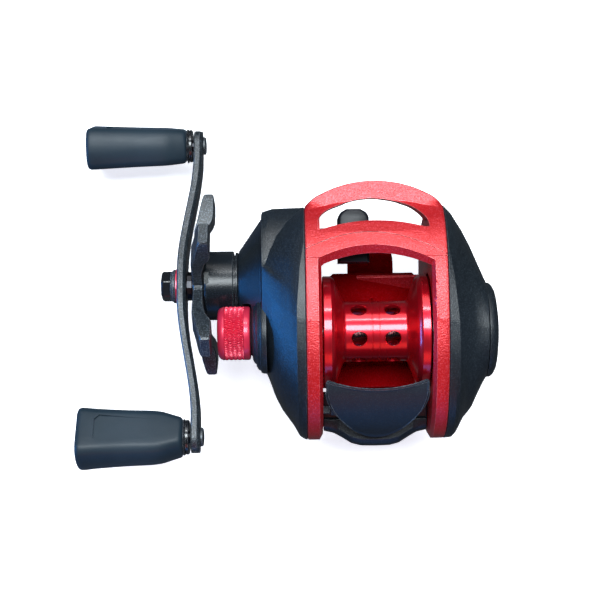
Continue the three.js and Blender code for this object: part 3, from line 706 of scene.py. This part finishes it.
BAR_INNER = [
    (16.3, 31.6), (16.0, 33.4), (14.7, 35.4), (12.5, 37.3), (9.8, 38.7), (5.7, 39.9),
    (1.6, 40.6), (-1.7, 40.75), (-6.5, 40.1), (-10.6, 38.7), (-13.9, 37.4), (-16.1, 35.7),
    (-17.0, 34.0), (-17.3, 32.2), (-17.3, 31.0),
]


def bar_window_cutter():
    """The opening between the hood and the front bar."""
    bar = flat_spline(BAR_INNER, 60)
    xs = [-17.2 + 33.4 * i / 30 for i in range(1, 30)]
    return cutter(prism(bar + [(x, 33.6 - 0.0096 * x * x) for x in xs], 10, 60))


# The space under the hood band, between the walls, as (y, z).
VOID = [(10, 18), (10, 39.6), (20, 38.9), (24, 37.5), (28, 35.9), (31, 34.2), (34, 31.6),
        (34, 18)]


def crown_block():
    """Top of both walls, the band over the line guide and the front bar, in one."""
    edge = [(WALL_OUT - run, depth) for run, depth in RIM_EDGE]
    edge += [(x, 0.0) for x in (20.2, 19.4, 18.4, FACET_X, 16.6)]
    middle = [15.7 - 31.4 * i / 26 for i in range(27)]
    stations = [(-x, d) for x, d in edge] + [(-x, 0.0) for x in middle]
    stations += [(x, d) for x, d in reversed(edge)]
    rings = [[(x, y, z) for y, z in inset(section(x), depth)] for x, depth in stations]
    piece = skin("frame_shell", rings, RED_FRAME, angle=FRAME_ANGLE)
    combine(piece, box_cutter(*CROWN_BOX), "INTERSECT", FRAME_ANGLE)
    under_hood = [[(x, y, z) for y, z in VOID] for x in (-WALL_IN + 0.02, WALL_IN - 0.02)]
    carve(piece, cutter(under_hood), FRAME_ANGLE)
    carve(piece, window_cutter(), FRAME_ANGLE)
    carve(piece, bar_window_cutter(), FRAME_ANGLE)
    return bore_walls(piece)


def keep_crest_sharp(piece):
    """The rim facets meet in a soft but clear crease along the crest."""
    for edge in piece.data.edges:
        ends = [piece.data.vertices[v].co / MM for v in edge.vertices]
        if all(abs(e.y - CROWN_Y) < 0.02 and e.z > 43 for e in ends):
            edge.use_edge_sharp = True


def make_frame_shell():
    shell = crown_block()
    hood = new_object("hood_shell", shell.data.copy())
    settle(hood, "frame_body", ["front_hood"])
    carve(shell, seam_region(-SEAM_GAP), FRAME_ANGLE)
    combine(hood, seam_region(SEAM_GAP), "INTERSECT", FRAME_ANGLE)
    gear_wall = make_wall("wall_gear", -1)
    carve(gear_wall, cylinder(4.3, -30, -17.4, DRIVE), FRAME_ANGLE)
    palm_wall = make_wall("wall_palm", 1)
    combine(shell, gear_wall, "UNION", FRAME_ANGLE)
    combine(shell, palm_wall, "UNION", FRAME_ANGLE)
    keep_crest_sharp(shell)
    for piece in (shell, hood):
        bevel(piece, 0.14, 2, 28)
    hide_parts("frame")


make_frame_shell()


def make_floor():
    """The trough under the spool, with its front ramp, and the bars between the walls."""
    half = WALL_IN + 0.2
    plan = [(-half, -18.6), (half, -18.6), (half, 14.5), (13.3, 18.3), (-12.2, 18.3),
            (-half, 14.5)]
    # The trough and both bars take the darker red, painted shade under the hood.
    skin("frame_floor", [
        [(x, y + (grow if y > 0 else -grow), z) for x, y in plan]
        for z, grow in ((3.6, -0.3), (3.9, 0.0), (5.2, 0.0), (5.6, -0.4))
    ], SHADED_RED_FRAME, angle=FRAME_ANGLE)
    lip = skin("frame_floor_ramp", [
        [(x, near, 5.4), (x, 17.6, 5.4), (x, 17.6, 5.5 + rise), (x, 16.9, 5.75 + rise),
         (x, near + 0.6, 5.75)]
        for x, near, rise in ((-4.6, 16.0, 0.1), (3.0, 14.6, 1.0), (15.9, 12.0, 2.6))
    ], RED_FRAME, angle=FRAME_ANGLE)
    bevel(lip, 0.15)
    for name, y0, y1, z0, z1 in (("front", 28.5, 32.6, 9, 14), ("rear", -30.4, -26.6, 4, 12)):
        bar_piece(f"frame_bar_{name}", [(y0, z0), (y1, z0), (y1, z1), (y0, z1)], (-half, half),
                  SHADED_RED_FRAME, 0.6, 3, FRAME_ANGLE)


make_floor()

# ---- reel foot ----


def make_foot():
    """Tapered foot with rounded ends and two screw holes."""
    rings = []
    half, edge = 7.35, 0.35
    for i in range(61):
        y = -30 + i
        end = max(0.0, (abs(y) - 22) / 8)
        width = half * math.sqrt(max(1 - 0.72 * end * end, 0.05))
        top = 3.2 - 2.0 * smoothstep(11, 30, abs(y))
        rings.append([
            (-width, y, edge), (-width + edge, y, 0), (width - edge, y, 0), (width, y, edge),
            (width, y, top - edge), (width - edge * 1.4, y, top), (-width + edge * 1.4, y, top),
            (-width, y, top - edge),
        ])
    # The foot takes the darker red, painted shade under the reel.
    foot = skin("foot_plate", rings, SHADED_RED_FRAME, ["reel_foot"], 30)
    for y in (-9, 9):
        carve(foot, cutter([[(r * c, y + r * s, z) for c, s in circle(32)]
                            for r, z in ((3.0, -1), (3.0, 1.3), (1.6, 1.31), (1.6, 6))]), 30)


make_foot()

# ---- gear side plate ----

RIM_X = 21.4                     # where both covers meet the frame, either side
GEAR_FACE, PALM_FACE = -34.3, 33.35
LIP_X, LIP_Y, LIP_Z = 21.12, 2.3, 17
GEAR_LIMITS = [
    (-RIM_X, -33.9, 38.6, -9, 43.45), (-23.4, -33.0, 38.6, -9, 42.7),
    (-25.4, -29.4, 38.6, -9, 41.6), (-28.9, -24.6, 38.55, -8.8, 39.3),
    (-31.1, -20.3, 38.5, -8.5, 37.6), (-32.4, -16.4, 38.4, -8.3, 36.5),
    (-33.4, -13.8, 38.2, -8.1, 35.6), (GEAR_FACE, -11.9, 37.6, -7.2, 34.7),
]
CHAMFER_X = [(27.5, 0.1), (20.0, 1.4), (8.0, 2.4), (-6.0, 2.6), (-34.0, 2.4)]
CREASE_X = [(38.6, -21.8), (36.5, -23.8), (33.0, -26.9), (28.0, -29.8), (22.0, -31.7),
            (17.0, -32.8), (12.0, -33.9)]


def gear_point(x, point):
    """The plate's surface at x for one point of the rim outline."""
    return stretched(point, *table_at(GEAR_LIMITS, x))


def gear_features(point):
    """Where the chamfer ends and where the front facet begins, for one outline point."""
    y, z = point
    upper = smoothstep(10, 18, z)
    chamfer = -RIM_X - table_at(CHAMFER_X, y)[0] * upper - 0.8 * (1 - upper)
    crease = table_at(CREASE_X, y)[0] if y > 12 else -33.9
    crease = crease * upper + -33.7 * (1 - upper)
    return chamfer, min(crease, chamfer - 0.3), upper


def stops(*counts):
    """Equal steps through each zone as (zone, share), with the last zone's end."""
    steps = [(zone, i / count) for zone, count in enumerate(counts) for i in range(count)]
    return steps + [(len(counts) - 1, 1.0)]


def inner_lip(side, ring):
    """A slightly smaller ring inside a cover's rim, which closes the gap to the frame."""
    return [(side * LIP_X, LIP_Y + (y - LIP_Y) * 0.99, LIP_Z + (z - LIP_Z) * 0.988)
            for _, y, z in ring]


def make_gear_cover():
    """Side cover: rim chamfer, full dark band, flat front facet and outer shoulder."""
    rows = []
    for zone, share in stops(2, 12, 4):
        ring = []
        for point in outline:
            chamfer, crease, upper = gear_features(point)
            ends = (-RIM_X, chamfer, crease, GEAR_FACE)
            x = ends[zone] + (ends[zone + 1] - ends[zone]) * share
            y, z = gear_point(x, point)
            z_rim, z_chamfer, z_crease, z_end = [gear_point(end, point)[1] for end in ends]
            flat = upper * smoothstep(12, 15, point[0])
            if zone == 0:
                z += (z_rim + 0.05 * (x + RIM_X) - z) * upper
            elif zone == 1:
                shelf_crease = z_end + 0.2 * (crease - GEAR_FACE)
                table_chamfer = z_rim + 0.05 * (chamfer + RIM_X)
                z += (shelf_crease - z_crease) * flat * share ** 1.4
                z += (table_chamfer - z_chamfer) * upper * (1 - share) ** 1.3
            else:
                z += (z_end + 0.2 * (x - GEAR_FACE) - z) * flat
            ring.append((x, y, z))
        rows.append(ring)
    rows.insert(0, inner_lip(-1, rows[0]))
    face = rows[-1]
    for share, x in ((0.97, -34.6), (0.8, -34.9), (0.5, -34.95)):
        rows.append([
            (x, 11 + (y - 11) * share, 14 + (z - 14) * share) for _, y, z in face
        ])
    bevel(skin("gear_cover", rows, PLATE, ["gear_side_plate"], 13), 0.16, 2, 13)


make_gear_cover()


def make_tower_base():
    """The cone that carries the handle tower, with a flat on its upper rear flank."""
    rings = []
    for x, radius in ((-32.6, 22.4), (-33.9, 21.9), (-34.5, 21.4), (-35.2, 20.5),
                      (-41.2, 11.9), (-41.7, 11.3), (-41.95, 10.9), (-41.95, 8.6)):
        ring = []
        for c, s in circle(120):
            rise = radius * s
            if rise < 0:
                rise *= 0.88
            ring.append((x, DRIVE.y + min(radius * c, 37.5 - DRIVE.y), DRIVE.z + rise))
        rings.append(ring)
    base = skin("tower_base", rings, PLATE, angle=20)
    corners = [Vector(c) for c in ((-33.6, 24.0, 35.0), (-41.0, 15.4, 24.6), (-34.6, 9.5, 33.6))]
    normal = (corners[1] - corners[0]).cross(corners[2] - corners[0]).normalized()
    if normal.z < 0:
        normal.negate()
    sink = [c - normal * 0.35 for c in corners]
    carve(base, cutter([sink, [c + normal * 8 for c in sink]]), 20)
    carve(base, cylinder(9.2, -50, -37.95, SPOOL, 96), 20)
    carve(base, cylinder(3.6, -33.1, -30, SPOOL, 48), 20)
    bevel(base, 0.12, 2, 20)


make_tower_base()
lathe("knob_boss", [
    (-33.2, 0), (-33.2, 12.6), (-34.4, 12.5), (-34.9, 12.3), (-35.1, 12.1), (-35.15, 11.7),
    (-35.9, 11.3), (-36.5, 10.3), (-36.55, 9.7), (-37.2, 9.1), (-37.6, 8.3), (-37.65, 7.3),
    (-38.0, 6.9), (-38.9, 6.4), (-39.9, 5.9), (-39.9, 0),
], SPOOL, PLATE, angle=25)


def make_tower():
    """Ring, groove and barrel round the handle bearing, with a small notch at its end."""
    tower = lathe("handle_tower_shell", [
        (-42.2, 4.6), (-42.2, 10.2), (-42.4, 10.5), (-42.9, 10.5), (-43.05, 10.3), (-43.05, 9.6),
        (-43.6, 9.6), (-43.65, 10.7), (-43.85, 10.9), (-52.0, 10.9), (-52.5, 10.6),
        (-52.7, 10.0), (-52.7, 7.7), (-48, 7.7), (-48, 4.6), (-42.2, 4.6),
    ], DRIVE, TOWER, ["handle_tower"], 120)
    notch = box_cutter((-53.5, DRIVE.y + 0.6, DRIVE.z + 9.2), (-51.2, DRIVE.y + 4.4, 40))
    carve(tower, notch, 30)
    bevel(tower, 0.1, 2, 30)


make_tower()

# ---- palm side plate ----

PALM_LIMITS = [
    (RIM_X, -33.9, 38.5, -9, 43.45), (23.6, -33.7, 36.4, -8.8, 42.6),
    (24.8, -32.3, 34.4, -8.2, 42.0), (26.8, -28.2, 31.2, -6.0, 41.0),
    (29.4, -24.8, 25.8, -2.0, 40.0), (31.1, -20.4, 21.2, 2.6, 39.6),
    (32.6, -16.8, 17.2, 7.0, 39.3), (PALM_FACE, -15.3, 15.4, 8.8, 39.1),
]
PALM_CHAMFER = [(27.0, 0.15), (16.0, 1.7), (4.0, 2.8), (-34.0, 3.1)]


def palm_point(x, point):
    """The plate's surface at x for one point of the rim outline."""
    return stretched(point, *table_at(PALM_LIMITS, x))


def make_palm_cover():
    """Side cover: rim chamfer, then a slightly hollow cone down to the flat face."""
    rows = []
    for zone, share in stops(3, 14):
        ring = []
        for point in outline:
            upper = smoothstep(8, 20, point[1])
            chamfer = RIM_X + table_at(PALM_CHAMFER, point[0])[0] * upper + 0.8 * (1 - upper)
            ends = (RIM_X, chamfer, PALM_FACE)
            x = ends[zone] + (ends[zone + 1] - ends[zone]) * share
            y, z = palm_point(x, point)
            z_rim = palm_point(RIM_X, point)[1]
            if zone == 0:
                z += (z_rim - 0.10 * (x - RIM_X) - z) * upper
            else:
                lift = z_rim - 0.10 * (chamfer - RIM_X) - palm_point(chamfer, point)[1]
                z += lift * upper * (1 - share) ** 1.3
                z -= 0.5 * math.sin(math.pi * share) * upper
            ring.append((x, y, z))
        rows.append(ring)
    rows.insert(0, inner_lip(1, rows[0]))
    rows.append([(33.5, SPOOL.y + (y - SPOOL.y) * 0.8, SPOOL.z + (z - SPOOL.z) * 0.8)
                 for _, y, z in rows[-1]])
    bevel(skin("palm_cover", rows, PLATE, ["palm_side_plate"], 14), 0.18, 2, 14)


make_palm_cover()
lathe("dial_shell", [
    (24, 0), (24, 3.8), (33.6, 3.8), (33.6, 14.1), (33.8, 14.6), (34.9, 14.5), (35.6, 14.0),
    (36.3, 12.8), (36.45, 12.2), (36.35, 11.7), (36.9, 9.6), (37.35, 6.0), (37.55, 3.0), (37.6, 0),
], SPOOL, DIAL, ["brake_dial"], 128)

# ---- spool ----


def make_spool():
    """Drum with flanges, and six pairs of countersunk holes round it."""
    half = [
        (0.0, 9.3), (0.85, 9.3), (0.95, 9.12), (1.2, 9.12), (1.3, 9.3), (8.9, 9.3), (9.4, 9.36),
        (9.75, 9.6), (10.0, 10.0), (12.2, 15.9), (12.45, 16.3), (13.3, 17.0), (13.6, 17.2),
        (15.75, 17.2), (16.0, 17.0), (16.0, 16.0), (15.7, 15.7), (13.9, 15.2), (11.2, 8.1),
        (2.0, 8.1), (2.0, 2.3),
    ]
    profile = half + [(-x, r) for x, r in reversed(half[1:])]
    spool = lathe("spool_shell", profile + [profile[0]], SPOOL, SPOOL_METAL, ["spool"], 144, 28)
    drills = bmesh.new()
    for row in range(6):
        lean = math.tau * row / 6 + math.radians(47)
        up, over = math.cos(lean), math.sin(lean)
        for x in (-5.1, 5.1):
            loft_into(drills, [[
                (x + radius * c, SPOOL.y + out * over + radius * s * up,
                 SPOOL.z + out * up - radius * s * over) for c, s in circle(40)
            ] for out, radius in ((6.0, 2.35), (9.02, 2.35), (9.4, 2.7), (10.5, 3.8))])
    carve(spool, object_from("cutter", drills), 28)


make_spool()

# ---- cast control knob ----


def make_tension_knob():
    """Smooth end bands with a diamond knurl between them."""
    lathe("tension_knob_shell", [
        (-48.3, 0), (-48.3, 6.4), (-48.1, 7.2), (-47.5, 7.9), (-46.8, 8.2), (-46.25, 8.25),
        (-46.0, 8.0), (-45.95, 7.6), (-40.35, 7.6), (-40.3, 8.0), (-40.1, 8.25), (-38.8, 8.25),
        (-38.4, 8.0), (-38.25, 7.5), (-38.2, 6.2), (-41.3, 6.2), (-41.3, 0),
    ], SPOOL, KNOB_METAL, ["tension_knob"], 128)
    around, along = 480, 37
    teeth, pitch = 66, 2.36
    rings = []
    for k in range(along):
        x = -46.0 + 5.7 * k / (along - 1)
        ring = []
        for i in range(around):
            turn = math.tau * i / around
            a = teeth * turn + pitch * (x + 43)
            b = teeth * turn - pitch * (x + 43)
            height = min(abs(math.sin(a / 2)), abs(math.sin(b / 2)))
            radius = 7.62 + 0.66 * height
            ring.append((x, SPOOL.y + radius * math.cos(turn), SPOOL.z + radius * math.sin(turn)))
        rings.append(ring)
    skin("tension_knob_knurl", rings, KNOB_METAL, angle=60)


make_tension_knob()

# ---- thumb bar and rear rest ----

THUMB_EDGE = [(0.0, -32.7), (3.0, -32.3), (5.7, -31.1), (7.5, -30.0), (9.2, -28.6),
              (11.2, -26.6), (13.0, -24.2), (14.2, -21.6), (14.9, -18.9), (15.1, -17.6)]
THUMB_CREST = [(-14.3, 38.35), (-19, 36.9), (-24, 33.9), (-28.6, 29.7), (-31.6, 25.6),
               (-36.4, 18.6)]


def make_thumb_bar():
    """A crescent pad: concave upper edge, dished face and a fine raised rim."""
    across, along = 56, 30
    crest = flat_spline(THUMB_CREST, 40)
    bm = bmesh.new()
    rows = []
    shares = [0, 0.012, 0.03] + [0.03 + 0.94 * (k + 1) / along for k in range(along)]
    shares += [0.988, 1.0]
    turns = [-1, -0.985, -0.96] + [-0.96 + 1.92 * (i + 1) / across for i in range(across)]
    turns += [0.985, 1]
    for v in shares:
        row = []
        for u in turns:
            x = 15.1 * (math.sin(u * math.pi / 2) * 0.6 + u * 0.4)
            front = -17.4 + 2.5 * (abs(x) / 15.1) ** 2
            rear = table_at(THUMB_EDGE, abs(x))[0]
            y = front + (rear - front) * v
            z = table_at(crest, y)[0] - 0.5 * (abs(x) / 15.1) ** 2
            rim = 0.0 if abs(u) > 0.97 or v < 0.02 or v > 0.98 else 0.22
            row.append(bm.verts.new((x, y, z - rim)))
        rows.append(row)
    for a, b in zip(rows, rows[1:]):
        for i in range(len(turns) - 1):
            bm.faces.new((a[i], a[i + 1], b[i + 1], b[i]))
    pad = finish_mesh("thumb_pad", bm, THUMB, ["thumb_bar"], 40)
    shell = pad.modifiers.new("thickness", "SOLIDIFY")
    shell.thickness = 1.3 * MM
    shell.offset = -1
    bevel(pad, 0.18, 2, 50)


make_thumb_bar()


def make_thumb_carrier():
    """The web under the pad and the tab that runs through the gear wall."""
    bar_piece("thumb_carrier", [(-21.5, 33.8), (-25.2, 31.0), (-25.2, 24.0), (-22.7, 24.0)],
              (-14.2, 13.0), THUMB, 0.3)
    bar_piece("thumb_tab", [(-25, 24), (-22.6, 24), (-22.6, 27), (-25, 27)],
              (-22.2, -13.9), THUMB, 0.2)


make_thumb_carrier()

REST_EDGE = [(0.0, -36.1), (4.5, -36.0), (7.5, -35.2), (10.5, -33.3), (13.0, -31.9),
             (16.1, -31.2)]


def make_rear_rest():
    """The black apron and cheeks that show below and beside the thumb bar."""
    rings = []
    for i in range(49):
        x = -16.1 + 32.2 * i / 48
        y = table_at(REST_EDGE, abs(x))[0]
        rings.append([
            (x, y + 0.7, 12.3), (x, y, 13.4), (x, y, 16.2), (x, y + 0.8, 17.6),
            (x, y + 2.2, 18.5), (x, -27.5, 18.8), (x, -27.5, 12.3),
        ])
    bevel(skin("rear_rest", rings, PLATE, ["rear_cover"], 30), 0.2, 2, 40)
    cheek = [(-19.2, 12.0), (-28.4, 12.0), (-28.4, 17.4), (-24.0, 19.3), (-19.2, 20.4)]
    bar_piece("rest_cheek_gear", cheek, (-16.3, -10.5), PLATE, 0.4, 3)
    bar_piece("rest_cheek_palm", cheek, (10.5, 16.3), PLATE, 0.4, 3)


make_rear_rest()

# ---- line guide ----

ROD = Vector((0, 30.3, 21.0))
ROD_BORE, WORM_BORE = 1.65, 2.75
RING_HOLE_X, RING_HOLE_Z = 2.4, 3.0


def make_line_guide():
    """Guide block: full-width body, rounded front corners, a bore for the ring and the rod."""
    low, high = limits("line_guide")
    mid = (low.x + high.x) / 2
    half = (high.x - low.x) / 2
    plan = [(-half, low.y), (half, low.y), (half, 34.6), (half - 0.25, 35.5),
            (half - 0.9, 36.4), (half - 1.9, 37.0), (half - 2.6, high.y)]
    plan += [(-x, y) for x, y in reversed(plan[2:])]
    levels = ((low.z, 0.5), (low.z + 0.5, 0.0), (high.z - 0.9, 0.0), (high.z - 0.3, 0.25),
              (high.z, 0.8))
    block = skin("guide_block", [
        [(mid + x * (1 - shrink / half), y + (shrink if y < 30 else -shrink) * 0.7, z)
         for x, y in plan] for z, shrink in levels
    ], GUIDE, ["line_guide"], 40)
    for radius, centre in ((ROD_BORE, ROD), (WORM_BORE, WORM)):
        carve(block, cylinder(radius, -30, 30, centre, 40), 40)
    low_ring, high_ring = limits("guide_ring")
    centre = (low_ring + high_ring) / 2
    carve(block, cutter([
        [(centre.x + RING_HOLE_X * c, y, centre.z + RING_HOLE_Z * s) for c, s in circle(32)]
        for y in (low_ring.y - 14, low_ring.y, high_ring.y + 3)
    ]), 40)
    bevel(block, 0.18, 2, 40)


make_line_guide()

# ---- handle ----

ARM_END = 4.9                    # arm beyond each knob axis
to_handle = Matrix.Translation(DRIVE) @ Matrix.Rotation(TILT, 4, "X")


def in_handle(x, y, z):
    """A point given along and across the arm, in the row frame."""
    return to_handle @ Vector((x - DRIVE.x, y, z))


def arm_line(along):
    """Middle plane, width and thickness of the arm at a distance from the handle axis."""
    share = abs(along) / ARM_HALF
    bend = smoothstep(0.1, 0.9, share)
    width = table_at([(0, 13.4), (0.14, 12.8), (0.35, 10.2), (0.7, 9.2), (0.9, 9.8), (1.2, 10)],
                     share)[0]
    return -60.1 + 4.7 * bend, width, 2.75


def make_arm():
    """Dished plate with broad chamfers and rounded ends."""
    rings = []
    reach = ARM_HALF + ARM_END
    steps = 160
    for i in range(steps + 1):
        along = -reach * math.cos(math.pi * i / steps)
        x, width, thick = arm_line(along)
        past = max(0.0, (abs(along) - ARM_HALF) / ARM_END)
        half = width / 2 * math.sqrt(max(1 - past * past, 0.02))
        t = thick / 2
        slope = 1.5 * min(1.0, half / 4)
        profile = [(-t, -half + 0.45), (-t, half - 0.45), (-t + 0.45, half), (t - 0.9, half),
                   (t - 0.55, half - 0.35), (t, half - slope), (t, -half + slope),
                   (t - 0.55, -half + 0.35), (t - 0.9, -half), (-t + 0.45, -half)]
        rings.append([in_handle(x + dx, along, z) for dx, z in profile])
    bevel(skin("arm_plate", rings, HANDLE, ["handle_arm"], 22), 0.12, 2, 25)
    for side, along in (("front", ARM_HALF), ("rear", -ARM_HALF)):
        lathe(f"arm_rivet_{side}", [
            (-54.05, 0), (-54.05, 2.6), (-53.75, 2.9), (-53.3, 2.9), (-53.0, 2.5), (-52.9, 1.6),
            (-53.1, 0.9), (-53.1, 0),
        ], in_handle(0, along, 0), HANDLE, segments=48)


make_arm()


def make_nut():
    """Chamfered hexagon on a stepped flange."""
    nut = skin("nut_hex", [
        [in_handle(x, radius * c, radius * s) for c, s in circle(6, 0.5)]
        for x, radius in ((-63.5, 4.9), (-66.1, 4.9), (-66.55, 4.45), (-66.7, 3.9))
    ], NUT, ["handle_nut"], 30)
    bevel(nut, 0.3, 3, 25)
    lathe("nut_flange", [(-62.05, 2.7), (-62.05, 5.1), (-62.4, 5.35), (-62.9, 5.3),
                         (-63.1, 4.9), (-63.6, 4.75), (-63.9, 4.2), (-63.9, 2.7),
                         (-62.05, 2.7)], DRIVE, HANDLE)


make_nut()

STAR_LEAN = math.radians(-14)
STAR_STATIONS = [
    (5, -56.35, -53.1, 3.9), (11.4, -56.35, -53.1, 3.5), (14.5, -56.35, -52.5, 3.6),
    (17.2, -56.25, -52.0, 3.8), (18.6, -55.9, -51.5, 3.95), (20.0, -55.5, -50.6, 4.1),
    (21.6, -55.1, -50.05, 4.2), (24.5, -54.5, -49.9, 4.25), (27.5, -53.8, -49.9, 4.1),
    (29.0, -53.35, -50.1, 3.8), (29.5, -53.1, -50.4, 3.4),
]


def make_star():
    """Hub and five stepped blades."""
    star = lathe("star_wheel", [
        (-53.1, 2.8), (-53.1, 7.0), (-53.5, 7.4), (-55.9, 7.4), (-56.4, 6.9), (-56.4, 2.8),
        (-53.1, 2.8),
    ], DRIVE, STAR, ["star_drag"], 72, 26)
    rim = 0.38
    for k in range(5):
        lean = math.tau * k / 5 + STAR_LEAN
        c, s = math.cos(lean), math.sin(lean)
        rings = []
        for radius, outboard, inboard, half in STAR_STATIONS:
            ring = [(outboard, -half + rim), (outboard, half - rim), (outboard + rim, half),
                    (inboard - rim, half), (inboard, half - rim), (inboard, -half + rim),
                    (inboard - rim, -half), (outboard + rim, -half)]
            rings.append([(x, DRIVE.y + radius * c - side * s, DRIVE.z + radius * s + side * c)
                          for x, side in ring])
        combine(star, cutter(rings), "UNION", 26)
    carve(star, cylinder(2.8, -60, -50, DRIVE), 26)
    bevel(star, 0.15, 2, 26)


make_star()

# ---- grips ----

# x, width and thickness along the grip.
GRIP = [
    (-91.5, 15.6, 10.6), (-91.45, 16.6, 11.6), (-91.2, 17.5, 12.5), (-90.7, 18.2, 13.2),
    (-89.6, 18.4, 13.5), (-86, 17.7, 13.2), (-81, 17.0, 12.8), (-76, 16.5, 12.4),
    (-71, 16.2, 12.1), (-67.5, 15.8, 11.9), (-65.2, 14.9, 11.7), (-62.6, 13.1, 11.3),
    (-60.4, 11.6, 10.9), (-59.7, 11.0, 10.2), (-59.3, 10.0, 9.2),
]
ROLL = {"front": math.radians(-79), "rear": math.radians(-35)}


def rounded_rectangle(width, thick, radius):
    """Closed ring with the same number of points whatever the size."""
    per_corner, per_side = 7, 4
    radius = min(radius, width / 2 - 0.2, thick / 2 - 0.2)
    corners = [(1, 1), (-1, 1), (-1, -1), (1, -1)]

    def corner_point(k, turn):
        sy, sz = corners[k % 4]
        return (sy * (width / 2 - radius) + radius * math.cos(turn),
                sz * (thick / 2 - radius) + radius * math.sin(turn))

    ring = []
    for k in range(4):
        start = k * math.pi / 2
        ring += [corner_point(k, start + math.pi / 2 * i / (per_corner - 1))
                 for i in range(per_corner)]
        last, target = ring[-1], corner_point(k + 1, start + math.pi / 2)
        for i in range(1, per_side):
            share = i / per_side
            ring.append((last[0] + (target[0] - last[0]) * share,
                         last[1] + (target[1] - last[1]) * share))
    return ring


PANEL = [(-86, -3.2), (-84.5, -4.7), (-70, -3.4), (-66.5, 0), (-70, 3.4), (-84.5, 4.7),
         (-86, 3.2)]
PANEL_LEVEL = 0.5 * 12.4 - 0.22  # the sunk panel's distance from the grip's axis


def make_grip(side, centre):
    """Flared paddle with crisp flat faces, and a sunk panel on each broad face."""
    turn = Matrix.Translation(centre) @ Matrix.Rotation(ROLL[side], 4, "X")
    grip = skin(f"paddle_{side}", [
        [turn @ Vector((x - centre.x, y * (1 - 0.2 * (2 * z / thick) ** 2), z))
         for y, z in rounded_rectangle(width, thick, 2.3)]
        for x, width, thick in spline(GRIP, 90)
    ], (RUBBER, f"knob_{side}_body", "grip_rubber"), [f"grip_{side}"], 50)
    for face in (-1, 1):
        carve(grip, cutter([
            [turn @ Vector((x - centre.x, y, face * z)) for x, y in PANEL]
            for z in (PANEL_LEVEL, PANEL_LEVEL + 3)
        ]), 40)
    bore = [(-95, 0), (-95, 3.6), (-91.2, 3.6), (-91.0, 3.5), (-91.0, 0)]
    carve(grip, turned_cutter(bore, centre, 48), 40)


for side, centre in (("front", KNOB_FRONT), ("rear", KNOB_REAR)):
    make_grip(side, centre)
    lathe(f"knob_collar_{side}", [
        (-57.3, 2.0), (-57.3, 4.9), (-57.6, 5.3), (-58.3, 5.3), (-58.5, 4.8), (-58.6, 5.4),
        (-58.9, 5.6), (-59.1, 5.5), (-59.1, 2.0), (-57.3, 2.0),
    ], centre, NUT, segments=64)

# ---- floor, light and camera ----


FLOOR_HALF = 3.0


def make_floor_sheet():
    """A pale sheet under the reel that lights itself and hides from reflections."""
    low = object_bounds()[0].z
    bm = bmesh.new()
    bm.faces.new([bm.verts.new((x * FLOOR_HALF, y * FLOOR_HALF, low))
                  for x, y in ((-1, -1), (1, -1), (1, 1), (-1, 1))])
    mesh = bpy.data.meshes.new("floor")
    bm.to_mesh(mesh)
    bm.free()
    floor = new_object("floor", mesh)
    n = Nodes("floor")
    tone = n.ramp(n.noise(3, 2), 0.0, 1.0, 0.3, 0.7)
    n.feed("Base Color", n.blend(tone, (0.86, 0.86, 0.86), (0.88, 0.88, 0.88)))
    n.fixed(Roughness=0.7, Specular_IOR_Level=0.2, Emission_Strength=0.7)
    n.shader.inputs["Emission Color"].default_value = (1.0, 1.0, 1.0, 1.0)
    mesh.materials.append(n.material)
    floor.visible_glossy = False
    floor.visible_diffuse = False


make_floor_sheet()


AIM = (-0.02, 0.0, 0.02)


def lamp(name, place, size, power, colour=(1, 1, 1)):
    """An area light that points at the reel."""
    data = bpy.data.lights.new(name, "AREA")
    data.shape = "RECTANGLE"
    data.size, data.size_y = size
    data.energy = power
    data.color = colour
    light = new_object(name, data)
    light.location = place
    light.rotation_euler = (Vector(AIM) - Vector(place)).to_track_quat("-Z", "Y").to_euler()


def light_scene():
    world = bpy.data.worlds.new("studio")
    scene.world = world
    world.use_nodes = True
    background = world.node_tree.nodes["Background"]
    background.inputs["Color"].default_value = (0.8, 0.9, 1.0, 1.0)
    background.inputs["Strength"].default_value = 0.1
    lamp("ceiling_panel", (-0.02, 0.34, 1.25), (1.1, 0.42), 25.0, (0.88, 0.96, 1.0))
    lamp("front_strip", (0.05, 0.75, 0.72), (0.7, 0.1), 3.3, (0.92, 0.97, 1.0))
    lamp("front_fill", (-0.02, 1.2, 0.75), (1.2, 0.7), 4.5)
    lamp("rear_fill", (-0.02, -1.1, 0.8), (0.8, 0.5), 1.6, (1.0, 0.2, 0.15))
    lamp("side_sky", (-1.2, -0.05, 0.12), (0.6, 0.3), 12.0, (0.02, 0.3, 1.0))
    lamp("rear_sky", (0.0, -1.1, 0.2), (0.9, 0.3), 1.5, (0.03, 0.3, 1.0))
    scene.view_settings.view_transform = "Standard"


light_scene()

CAMERA_ROLL = math.radians(-0.9)


def make_camera():
    data = bpy.data.cameras.new("camera")
    data.sensor_width = 36.0
    data.lens = 81.6
    camera = new_object("camera", data)
    camera.location = (-0.0229, 0.010, 0.4435)
    camera.rotation_euler = (0.0, 0.0, CAMERA_ROLL)
    scene.camera = camera


make_camera()
